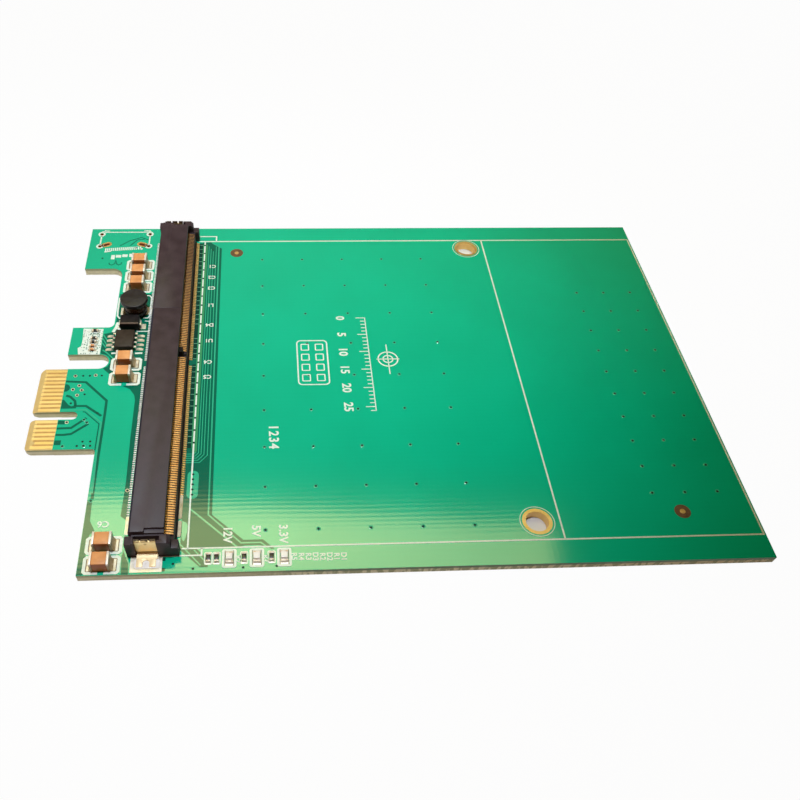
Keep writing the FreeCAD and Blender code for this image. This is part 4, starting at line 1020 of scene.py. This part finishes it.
# Painted shade and reflection: the capacitor fillets are brown beside the bodies, for their shadow and the
# dark ends they mirror.
fillet_shade_finish = grained("solder_painted_shade", (0.36, 0.25, 0.11), (0.68, 0.54, 0.32), 1600, 0.3, 0.5,
                       0.006, 0.4)
close_piece("capacitor_fillets", shaded_fillets, fillet_shade_finish, "tin", 50)

LAND_FRAME = ((1.5, 1.2), (2.45, 1.2), (2.45, -1.2), (1.5, -1.2))
VIA_RING = ((0.22, SUNK), (0.37, SUNK), (0.34, VIA_TOP), (0.24, VIA_TOP))
land_lines = bmesh.new()
for side in (-1, 1):
    for x, y in CAP_FRAMES:
        add_line(land_lines, [(x + side * out, y + up) for out, up in LAND_FRAME], 0.15, SUNK, 0.058)
    for x in LED_XS:
        run = [(x + side * 0.7, LED_Y + 1.4), (x + side * 0.72, LED_Y - 1.4)]
        add_line(land_lines, run, 0.1, SUNK, 0.064)
close_piece("land_outlines", land_lines, clearing_finish, "board_mask")
collars = bmesh.new()
for x, y in RINGED_VIAS:
    add_lathe(collars, VIA_RING, x, y, VIA_SIDES)
close_piece("tinned_via_rings", collars, tin_finish, "tin", ROUND)

# Module slot: housing.
# One long black moulding in glass-filled plastic with a key, its nose painted near-black as
# shade, and two end blocks with a pocket each. Its back edge is bevelled, and a fine groove
# crosses its top plate.
MERGE = 0.0005 * MM
FLATNESS = 0.5
SHARP = 28


def soft_copy(node, width, smooth=40, steps=2, shape=None):
    """Merged copy of a CAD solid, shaped where asked, with its edges rounded by a width in mm."""
    solid = bmesh.new()
    solid.from_mesh(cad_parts[node].data)
    bmesh.ops.remove_doubles(solid, verts=solid.verts, dist=MERGE)
    bmesh.ops.dissolve_limit(solid, angle_limit=math.radians(FLATNESS), verts=solid.verts, edges=solid.edges)
    if shape is not None:
        shape(solid)
    sharp = [edge for edge in solid.edges
             if len(edge.link_faces) == 2 and edge.calc_face_angle() > math.radians(SHARP)]
    bmesh.ops.bevel(solid, geom=sharp, offset=width * MM, segments=steps, profile=0.5, affect="EDGES",
                    clamp_overlap=False)
    for layer in list(solid.loops.layers.uv):
        solid.loops.layers.uv.remove(layer)
    mesh = bpy.data.meshes.new(node)
    solid.to_mesh(mesh)
    solid.free()
    if "custom_normal" in mesh.attributes:
        mesh.attributes.remove(mesh.attributes["custom_normal"])
    soften(mesh, smooth)
    return mesh


def soft_piece(name, node, width, finish, slot, smooth=40, steps=2):
    """Piece with rounded edges in place of a CAD node."""
    new_piece(name, soft_copy(node, width, smooth, steps), finish, slot, node)


# Painted reflection: faces turned to the back are painted navy, as they mirror the dark room.
BACK_REFLECTION_TINT = (0.006, 0.006, 0.018, 1.0)
BACK_TURN = (-0.5, -0.3)
plastic_finish = grained("glass_filled_plastic", (0.031, 0.018, 0.023), (0.051, 0.031, 0.037), 420,
                         0.40, 0.52, 0.008, shine=0.3)
tree, shader, moulded, place = reworked(plastic_finish)
behind = ramp(tree, part_of(tree, place["Normal"], "X"), *BACK_TURN, 1.0, 0.0)
tree.links.new(mix(tree, behind, moulded, BACK_REFLECTION_TINT), shader.inputs["Base Color"])

slot_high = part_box("slot_housing")[1]
BACK_CHAMFER = 0.4 * MM
TOUCH = 0.002 * MM
GROOVE_Y = 48.95
GROOVE_DEPTH = 0.07 * MM
GROOVE_HALF = 0.07
POCKET_X = (17.1, 21.3)
POCKET_Z = (3.0, 4.4)
POCKET_YS = ((-5.52, -4.7), (77.5, 78.32))


def shape_moulding(solid):
    """Bevels the long upper edge at the back and sinks a pocket behind each hold-down."""
    level = [vert for vert in solid.verts if abs(vert.co.z - slot_high.z) < TOUCH]
    back = min(vert.co.x for vert in level)
    edges = [edge for edge in solid.edges
             if all(vert in level and abs(vert.co.x - back) < TOUCH for vert in edge.verts)]
    bmesh.ops.bevel(solid, geom=edges, offset=BACK_CHAMFER, segments=1, affect="EDGES", clamp_overlap=False)
    tool = bmesh.new()
    for span in POCKET_YS:
        add_prism(tool, corners_of(*POCKET_X, *span), *POCKET_Z)
    cutter = link_new("pocket_cutter", close_mesh("pocket_cutter", tool))
    block = bpy.data.meshes.new("pocket_block")
    solid.to_mesh(block)
    carrier = link_new("pocket_block", block)
    sinking = carrier.modifiers.new("pockets", "BOOLEAN")
    sinking.operation = "DIFFERENCE"
    sinking.solver = "EXACT"
    sinking.object = cutter
    sunk = plain_mesh(carrier)
    bpy.data.objects.remove(cutter)
    solid.clear()
    solid.from_mesh(sunk)


moulding = soft_copy("slot_housing", 0.05, shape=shape_moulding)
scored = bmesh.new()
scored.from_mesh(moulding)
for step in (-GROOVE_HALF, 0.0, GROOVE_HALF):
    parts = scored.verts[:] + scored.edges[:] + scored.faces[:]
    bmesh.ops.bisect_plane(scored, geom=parts, dist=TOUCH, plane_co=on_board(0, GROOVE_Y + step),
                           plane_no=(0, 1, 0))
groove_y = on_board(0, GROOVE_Y).y
for vert in scored.verts:
    if abs(vert.co.y - groove_y) < TOUCH and abs(vert.co.z - slot_high.z) < TOUCH:
        vert.co.z -= GROOVE_DEPTH
scored.to_mesh(moulding)
scored.free()
soften(moulding, 30)
new_piece("slot_moulding", moulding, plastic_finish, "housing_plastic", "slot_housing")

# Painted shade: this finish is near-black, for the key's nose and the strip before the jaw.
shade_finish = grained("shaded_plastic", (0.004, 0.003, 0.003), (0.009, 0.007, 0.006), 420, 0.5, 0.7, 0.008,
                       shine=0.15)
nose = bmesh.new()
add_prism(nose, corners_of(21.2, 22.8, 37.6, 39.0), 2.25, 3.85)
add_prism(nose, corners_of(22.7, 23.38, 38.0, 38.5), 2.2, 2.45)
close_piece("slot_key_nose", nose, shade_finish, "housing_plastic")

# Module slot: contacts.
# Two rows of gold-plated spring strips at half-millimetre pitch, pressed into the moulding.
# Each has a beam in the slot and a tail on the board, and the key leaves out a few.

row_with_gap, given, result = new_tree(
    "row_with_gap",
    (("Part", "NodeSocketObject"), ("Count", "NodeSocketInt"), ("Pitch", "NodeSocketFloat"),
     ("Start", "NodeSocketVector"), ("Gap From", "NodeSocketInt"), ("Gap Length", "NodeSocketInt"),
     ("Finish", "NodeSocketMaterial")))
offset = add_node(row_with_gap, "ShaderNodeCombineXYZ", {"Y": given["Pitch"]})
row = add_node(row_with_gap, "GeometryNodeMeshLine", {
    "Count": given["Count"], "Start Location": given["Start"], "Offset": offset.outputs[0]})
number = add_node(row_with_gap, "GeometryNodeInputIndex").outputs[0]
past = add_node(row_with_gap, "FunctionNodeCompare", {2: number, 3: given["Gap From"]}, data_type="INT",
                operation="GREATER_EQUAL")
gap_end = calc(row_with_gap, "ADD", given["Gap From"], given["Gap Length"])
short_of = add_node(row_with_gap, "FunctionNodeCompare", {2: number, 3: gap_end}, data_type="INT",
                    operation="LESS_THAN")
inside = add_node(row_with_gap, "FunctionNodeBooleanMath", {
    0: past.outputs[0], 1: short_of.outputs[0]}, operation="AND")
kept = add_node(row_with_gap, "GeometryNodeDeleteGeometry", {
    "Geometry": row.outputs[0], "Selection": inside.outputs[0]}, domain="POINT")
source = add_node(row_with_gap, "GeometryNodeObjectInfo", {"Object": given["Part"]})
copies = add_node(row_with_gap, "GeometryNodeInstanceOnPoints", {
    "Points": kept.outputs[0], "Instance": source.outputs["Geometry"]})
end_tree(row_with_gap, result, copies.outputs[0], given["Finish"])
CONTACT_PITCH = 0.5
CONTACT_WIDTH = 0.3
CONTACT_SHEET = 0.12
CONTACT_COUNT = 160
CONTACT_X = 16.3
KEY_FROM = 82
KEY_LENGTH = 3
ROW_START = -3.25
BENT = 50


def set_in_row(name, part, x, finish, slot, *nodes, smooth=BENT, skip=0, between=0):
    """Piece with copies of a part at the contacts' places, or between them, and a gap at the key."""
    model = link_new(f"{name}_part", part)
    start = on_board(x, ROW_START + (skip - between / 2) * CONTACT_PITCH)
    mesh = grow(name, row_with_gap, {
        "Part": model, "Count": CONTACT_COUNT - skip + between, "Pitch": CONTACT_PITCH * MM, "Start": start,
        "Gap From": KEY_FROM - skip + between, "Gap Length": KEY_LENGTH - between, "Finish": finish},
        None, smooth)
    bpy.data.objects.remove(model)
    new_piece(name, mesh, None, slot, *nodes)


def bent_strip(name, line, width):
    """Sheet-metal strip bent along a line of x and z points, centred on y, in millimetres."""
    shell = bmesh.new()
    add_skin(shell, [[shell.verts.new(Vector((point.x, side * width / 2, point.y)) * MM)
                      for point, side in ((left, -1), (right, -1), (right, 1), (left, 1))]
                     for left, right in mitred(line, CONTACT_SHEET, least=0.5)])
    return close_mesh(name, shell, BENT)


LOWER_BEAM = [(6.98, 0.6), (6.98, 2.25), (6.9, 2.38), (6.6, 2.45), (5.5, 2.63), (4.8, 2.72), (4.3, 2.66)]
UPPER_BEAM = [(-0.12, 1.1), (-0.12, 3.4), (0.1, 3.55), (2.0, 3.6), (3.8, 3.4), (4.7, 3.3)]
# Painted shade: the contacts grow darker towards the far end of the slot.
FAR_SHADE_RUN = (28.0, 68.0)
FAR_SHADE_SHARE = 0.75
FAR_SHADE_TINT = (0.10, 0.06, 0.035, 1.0)
spring_finish = grained("spring_gold", (0.84, 0.36, 0.08), (1.0, 0.57, 0.18), 1900, 0.3, 0.46, 0.002, 0.2)
tree, shader, unshaded_gold, place = reworked(spring_finish)
shade_from, shade_to = (on_board(0, y).y for y in FAR_SHADE_RUN)
far_shade = ramp(tree, part_of(tree, place["Object"], "Y"), shade_from, shade_to, 0.0, FAR_SHADE_SHARE)
tree.links.new(mix(tree, far_shade, unshaded_gold, FAR_SHADE_TINT), shader.inputs["Base Color"])
set_in_row("lower_contacts", bent_strip("lower_contact", LOWER_BEAM, CONTACT_WIDTH), CONTACT_X,
           spring_finish, "spring_gold", "slot_contacts_lower")
set_in_row("upper_contacts", bent_strip("upper_contact", UPPER_BEAM, CONTACT_WIDTH), CONTACT_X,
           spring_finish, "spring_gold", "slot_contacts_upper")

TAIL_WIDTH = 0.24
TAIL_SKIP = 18
BACK_SKIP = 10
UPPER_TAIL = [(-1.5, 0.08), (-0.75, 0.08), (-0.45, 0.25), (-0.12, 1.1)]
LOWER_TAIL = [(7.3, 0.3), (7.42, 0.1), (7.5, 0.08), (7.85, 0.08)]
back_finish = grained("bright_tin", (0.78, 0.78, 0.77), (0.94, 0.94, 0.92), 1400, 0.28, 0.5, 0.006, 0.3)
tail_finish = grained("tail_gold", (0.66, 0.33, 0.07), (0.98, 0.62, 0.20), 2600, 0.3, 0.46, 0.002, 0.3)
set_in_row("upper_tails", bent_strip("upper_tail", UPPER_TAIL, TAIL_WIDTH), CONTACT_X, back_finish, "tin")
set_in_row("lower_tails", bent_strip("lower_tail", LOWER_TAIL, TAIL_WIDTH), CONTACT_X, tail_finish,
           "spring_gold", skip=TAIL_SKIP)
# Painted shade: a near-black strip before the jaw's front wall stands in for its shadow.
shadow_strip = bmesh.new()
add_prism(shadow_strip, corners_of(23.36, 23.64, -3.5, 76.6), SUNK, 0.34)
close_piece("slot_ledge", shadow_strip, shade_finish, "housing_plastic")
POWER_TOP = 0.16
dull_finish = grained("dull_tin", (0.34, 0.29, 0.20), (0.52, 0.46, 0.34), 1400, 0.32, 0.5, 0.006, 0.4)
power = bmesh.new()
for y_low, y_high in ((1.1, 6.1), (-2.5, 0.75)):
    add_prism(power, rounded(23.5, 24.2, y_low, y_high, 0.3), SUNK, POWER_TOP)
close_piece("power_tails", power, dull_finish, "tin")
strap = bmesh.new()
add_prism(strap, rounded(14.75, 15.35, -1.8, 1.8, 0.1), SUNK, POWER_TOP)
close_piece("back_power_tail", strap, tin_finish, "tin")

JOINT = ((0.001, 0.0), (0.15, 0.0), (0.12, 0.13), (0.001, 0.17))
JOINT_STRETCH = 1.3
joint = bmesh.new()
add_lathe(joint, JOINT, 0, 0, 8)
joint_mesh = close_mesh("tail_joint", joint, 60)
joint_mesh.transform(Matrix.Translation(-DATUM))
joint_mesh.transform(Matrix.Scale(JOINT_STRETCH, 4, Vector((1, 0, 0))))
set_in_row("front_tail_solder", joint_mesh.copy(), 24.08, tail_finish, "tin", smooth=60, skip=TAIL_SKIP)
set_in_row("back_tail_solder", joint_mesh, 14.9, back_finish, "tin", smooth=60, skip=BACK_SKIP)

RIB = [(4.25, 2.28), (7.08, 2.28), (7.08, 2.44), (6.6, 2.58), (4.9, 2.84), (4.25, 2.84)]
RIB_HALF = 0.055
rib = bmesh.new()
add_skin(rib, [[rib.verts.new(Vector((x, y, z)) * MM) for x, z in RIB] for y in (-RIB_HALF, RIB_HALF)])
set_in_row("slot_ribs", close_mesh("slot_rib", rib), CONTACT_X, plastic_finish, "housing_plastic",
           smooth=None, between=1)

# Hold-downs.
# Two bent tabs of plated sheet metal at the ends of the slot, soldered to wide lands. Their
# torn upper edges are burnt brown. On the upright sheet a dark line of painted shade marks the
# bend, and a dimple shows as a spot of painted shade.
SHEAR_SCALE = 2200.0
SHEAR_DEPTH = 0.9 * MM
BURNT = (4.65, 4.85)
BEND_SHADE_Z = 0.95
BURN_AND_SHADE_TINT = (0.05, 0.028, 0.014, 1.0)
DIMPLE = (19.0, -5.75, 3.3)
DIMPLE_SHADE_TINT = (0.42, 0.27, 0.12, 1.0)
UPRIGHT = (0.2, 0.55)
sheet_finish = grained("plated_sheet", (0.98, 0.71, 0.34), (1.0, 0.81, 0.45), 500, 0.34, 0.48, 0.004, 0.3)
tree, shader, plated, place = reworked(sheet_finish)
height = part_of(tree, place["Object"], "Z")
shear = add_node(tree, "ShaderNodeTexNoise", {"Vector": place["Object"], "Scale": SHEAR_SCALE})
uneven = calc(tree, "MULTIPLY_ADD", shear.outputs["Fac"], SHEAR_DEPTH, height)
burnt = ramp(tree, uneven, *(z_at(z) for z in BURNT))
# Painted shade: a dark line low on the upright where it bends; the same tint marks the real burnt edge.
away = calc(tree, "ABSOLUTE", calc(tree, "SUBTRACT", height, z_at(BEND_SHADE_Z)))
bend_shade = ramp(tree, away, 0.08 * MM, 0.2 * MM, 1.0, 0.0)
shaded = mix(tree, calc(tree, "MAXIMUM", burnt, bend_shade), plated, BURN_AND_SHADE_TINT)
# Painted shade: a darker spot where the dimple is pressed into the upright.
pressed = ramp(tree, distance(tree, place["Object"], on_board(*DIMPLE)), 0.1 * MM, 0.4 * MM, 0.8, 0.0)
tree.links.new(mix(tree, pressed, shaded, DIMPLE_SHADE_TINT), shader.inputs["Base Color"])
level = calc(tree, "ABSOLUTE", part_of(tree, place["Normal"], "Z"))
tree.links.new(ramp(tree, level, *UPRIGHT, 0.85, 0.1), shader.inputs["Metallic"])
fresh_finish = grained("fresh_solder", (0.90, 0.86, 0.79), (0.98, 0.95, 0.89), 1200, 0.25, 0.45, 0.01, 0.05)
SHEET = 0.25
SIDE_GAP = 0.04 * MM
LIP = ((0.0, 0.24), (0.0, 0.62), (0.12, 0.62), (0.95, 0.32), (0.95, 0.24))
CREST = ((0.0, 0.9), (1.2, 2.3), (2.6, 3.5))
CREST_SPAN = (3.9, 4.5)
FLOW = (0.3, 0.25, 1.5)
solder = bmesh.new()
for end, way in (("near", -1), ("far", 1)):
    low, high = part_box(f"hold_down_{end}")
    bend = (high.y if way < 0 else low.y) + way * SHEET * MM
    toes = ((low.y if way < 0 else high.y) - DATUM.y) / MM
    x_low, x_high = ((corner.x - DATUM.x) / MM for corner in (low, high))
    y_front = (bend - DATUM.y) / MM
    y_back = y_front - way * SHEET
    bent = bmesh.new()
    bent.from_mesh(soft_copy(f"hold_down_{end}", 0.03))
    add_skin(bent, [[bent.verts.new((x, bend + way * out * MM, z_at(up))) for out, up in LIP]
                    for x in (low.x + SIDE_GAP, high.x - SIDE_GAP)])
    for left, right in CREST:
        add_prism(bent, corners_of(x_low + left, x_low + right, y_front, y_back), *CREST_SPAN)
    close_piece(f"hold_down_tab_{end}", bent, sheet_finish, "spring_gold", ROUND, f"hold_down_{end}")
    side, front, back = FLOW
    ends = sorted((toes + way * front, toes - way * back))
    add_prism(solder, rounded(x_low - side, x_high + side, *ends, 0.3), SUNK, 0.15)
close_piece("hold_down_solder", solder, fresh_finish, "tin")

# Chip capacitors.
# Stacked ceramic bodies with dipped tin ends, the edges tumbled round before firing. Their sides
# are painted darker than the tops as shade, and the lower part of each end is painted brown as
# shade and reflection.
SIDE_SHADE_TINT = (0.38, 0.11, 0.02, 1.0)
LOW_END_SHADE_TINT = (0.34, 0.24, 0.12, 1.0)
UPWARD = (0.25, 0.6)
SHOULDER = (1.7, 2.3)
ceramic_finish = grained("fired_ceramic", (0.66, 0.27, 0.09), (0.84, 0.40, 0.15), 700, 0.32, 0.48, 0.004,
                         shine=0.3)
tree, shader, fired, place = reworked(ceramic_finish)
# Painted shade: faces that do not turn upwards are darker.
upward = ramp(tree, part_of(tree, place["Normal"], "Z"), *UPWARD)
tree.links.new(mix(tree, upward, SIDE_SHADE_TINT, fired), shader.inputs["Base Color"])
shoulder_finish = grained("tin_end_shaded_below", (0.76, 0.70, 0.60), (0.93, 0.89, 0.80), 900, 0.3, 0.5, 0.006, 0.3)
tree, shader, dipped, place = reworked(shoulder_finish)
# Painted shade and reflection: each end is brown below the shoulder.
above_shade = ramp(tree, part_of(tree, place["Object"], "Z"), *(z_at(z) for z in SHOULDER))
tree.links.new(mix(tree, above_shade, LOW_END_SHADE_TINT, dipped), shader.inputs["Base Color"])
for chip in CAPACITORS:
    soft_piece(f"{chip}_body", chip, 0.14, ceramic_finish, "capacitor_ceramic", 50, 3)
    soft_piece(f"{chip}_caps", f"{chip}_ends", 0.06, shoulder_finish, "tin")

# Drum inductor.
# A pressed ferrite drum wound with enamelled copper wire, on two soldered plates, of which the
# left one is painted dark as shade.
ferrite_finish = grained("pressed_ferrite", (0.006, 0.005, 0.006), (0.014, 0.011, 0.013), 900, 0.38, 0.6,
                         0.008)
soft_piece("inductor_drum", "inductor_core", 0.12, ferrite_finish, "ferrite", 40, 3)

wound_wire, given, result = new_tree(
    "wound_wire", (("Turns", "NodeSocketFloat"), ("Radius", "NodeSocketFloat"),
                   ("Height", "NodeSocketFloat"), ("Wire", "NodeSocketFloat"),
                   ("Place", "NodeSocketVector"), ("Finish", "NodeSocketMaterial")))
coil = add_node(wound_wire, "GeometryNodeCurveSpiral", {
    "Resolution": 24, "Rotations": given["Turns"], "Start Radius": given["Radius"],
    "End Radius": given["Radius"], "Height": given["Height"]})
section = add_node(wound_wire, "GeometryNodeCurvePrimitiveCircle", {
    "Resolution": 6, "Radius": given["Wire"]}, mode="RADIUS")
wire = add_node(wound_wire, "GeometryNodeCurveToMesh", {
    "Curve": coil.outputs[0], "Profile Curve": section.outputs[0], "Fill Caps": True})
moved = add_node(wound_wire, "GeometryNodeTransform", {
    "Geometry": wire.outputs[0], "Translation": given["Place"]})
end_tree(wound_wire, result, moved.outputs[0], given["Finish"])
WIRE = 0.09 * MM
wire_finish = grained("enamelled_wire", (0.05, 0.022, 0.012), (0.10, 0.045, 0.022), 800, 0.2, 0.36,
                      0.002, 0.4)
wire_low, wire_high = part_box("inductor_winding")
wire_radius = (wire_high.x - wire_low.x) / 2
wire_rise = wire_high.z - wire_low.z - 2 * WIRE
middle = (wire_low + wire_high) / 2
new_piece("inductor_wire", grow("inductor_wire", wound_wire, {
    "Turns": wire_rise / (2 * WIRE), "Radius": wire_radius - WIRE, "Height": wire_rise, "Wire": WIRE,
    "Place": Vector((middle.x, middle.y, wire_low.z + WIRE)), "Finish": wire_finish}, None, 60),
    None, "copper_wire", "inductor_winding")
LEFT_SHADE_TINT = (0.06, 0.045, 0.03, 1.0)
SHADE_BLEND_HALF = 0.5 * MM
plate_finish = grained("plate_painted_left_shade", (0.76, 0.72, 0.63), (0.93, 0.90, 0.83), 900, 0.3, 0.5, 0.006, 0.35)
tree, shader, plated, place = reworked(plate_finish)
# Painted shade: the plate is dark towards the left.
right = ramp(tree, part_of(tree, place["Object"], "X"), middle.x - SHADE_BLEND_HALF, middle.x + SHADE_BLEND_HALF)
tree.links.new(mix(tree, right, LEFT_SHADE_TINT, plated), shader.inputs["Base Color"])
soft_piece("inductor_plates", "inductor_terminals", 0.03, plate_finish, "tin")

# Diode.
# A black moulded block with two tinned leads folded under it. Its front upper edge is painted
# pale as a highlight.
EDGE_LIGHT_REACH = (0.12 * MM, 0.3 * MM)
EDGE_HIGHLIGHT_TINT = (0.24, 0.17, 0.12, 1.0)
block_low, block_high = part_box("diode_body")
edge_lit_finish = grained("compound_painted_highlight", (0.007, 0.006, 0.007), (0.016, 0.013, 0.015), 600, 0.34, 0.5, 0.008,
                      shine=0.15)
tree, shader, compound, place = reworked(edge_lit_finish)
# Painted highlight: the front upper edge is lighter.
corner = add_node(tree, "ShaderNodeVectorMath", {
    0: place["Object"], 1: (0.0, block_low.y, block_high.z)}, operation="SUBTRACT")
corner = add_node(tree, "ShaderNodeVectorMath", {0: corner.outputs[0], 1: (0.0, 1.0, 1.0)},
                  operation="MULTIPLY")
away = add_node(tree, "ShaderNodeVectorMath", {0: corner.outputs[0]}, operation="LENGTH")
edge_lit = ramp(tree, away.outputs["Value"], *EDGE_LIGHT_REACH, 0.8, 0.0)
tree.links.new(mix(tree, edge_lit, compound, EDGE_HIGHLIGHT_TINT), shader.inputs["Base Color"])
lead_finish = grained("tinned_lead", (0.62, 0.58, 0.52), (0.86, 0.83, 0.76), 900, 0.3, 0.46, 0.004, 0.7)
soft_piece("diode_block", "diode_body", 0.1, edge_lit_finish, "black_mould", 40, 3)
soft_piece("diode_straps", "diode_leads", 0.03, lead_finish, "tin")

# Regulator.
# A small chip in brown-black moulding compound, with eight tinned gull-wing leads that are
# soldered to their lands.
chip_finish = grained("brown_black_mould", (0.026, 0.018, 0.012), (0.046, 0.032, 0.022), 900, 0.42, 0.6,
                      0.008, shine=0.25)
soft_piece("regulator_block", "regulator_body", 0.07, chip_finish, "black_mould")
soft_piece("regulator_gulls", "regulator_leads", 0.03, lead_finish, "tin")

# Light-emitting diodes and their resistors.
# White carriers with cast resin lenses and tinned ends, beside black glazed chip resistors.
carrier_finish = grained("white_carrier", (0.92, 0.90, 0.80), (0.97, 0.95, 0.88), 900, 0.4, 0.6, 0.004)
lens_finish = grained("cast_resin", (0.95, 0.92, 0.82), (0.99, 0.97, 0.90), 500, 0.14, 0.26, 0.002)
mottled_finish = grained("mottled_tin", (0.55, 0.36, 0.18), (0.97, 0.92, 0.82), 2600, 0.3, 0.5, 0.006, 0.15)
film_finish = grained("resistor_glaze", (0.010, 0.009, 0.010), (0.026, 0.022, 0.022), 1500, 0.2, 0.4, 0.004)
EDGE = 0.03
for chip in LEDS:
    soft_piece(f"{chip}_carrier", chip, EDGE, carrier_finish, "carrier_white")
    soft_piece(f"{chip}_resin", f"{chip}_lens", 0.08, lens_finish, "lens_resin", 50, 3)
    soft_piece(f"{chip}_metal", f"{chip}_ends", EDGE, mottled_finish, "tin")
for chip in LED_RESISTORS:
    soft_piece(f"{chip}_body", chip, EDGE, film_finish, "resistor_film")
    soft_piece(f"{chip}_metal", f"{chip}_ends", EDGE, mottled_finish, "tin")

# Small chips on the small tab.
# Two ceramic capacitors and three glazed resistors in rows across the tab, with tinned ends.
for chip in TAB_CHIPS:
    if chip.startswith("tab_capacitor"):
        soft_piece(f"{chip}_body", chip, 0.04, ceramic_finish, "capacitor_ceramic")
    else:
        soft_piece(f"{chip}_body", chip, 0.04, film_finish, "resistor_film")
    soft_piece(f"{chip}_metal", f"{chip}_ends", EDGE, mottled_finish, "tin")
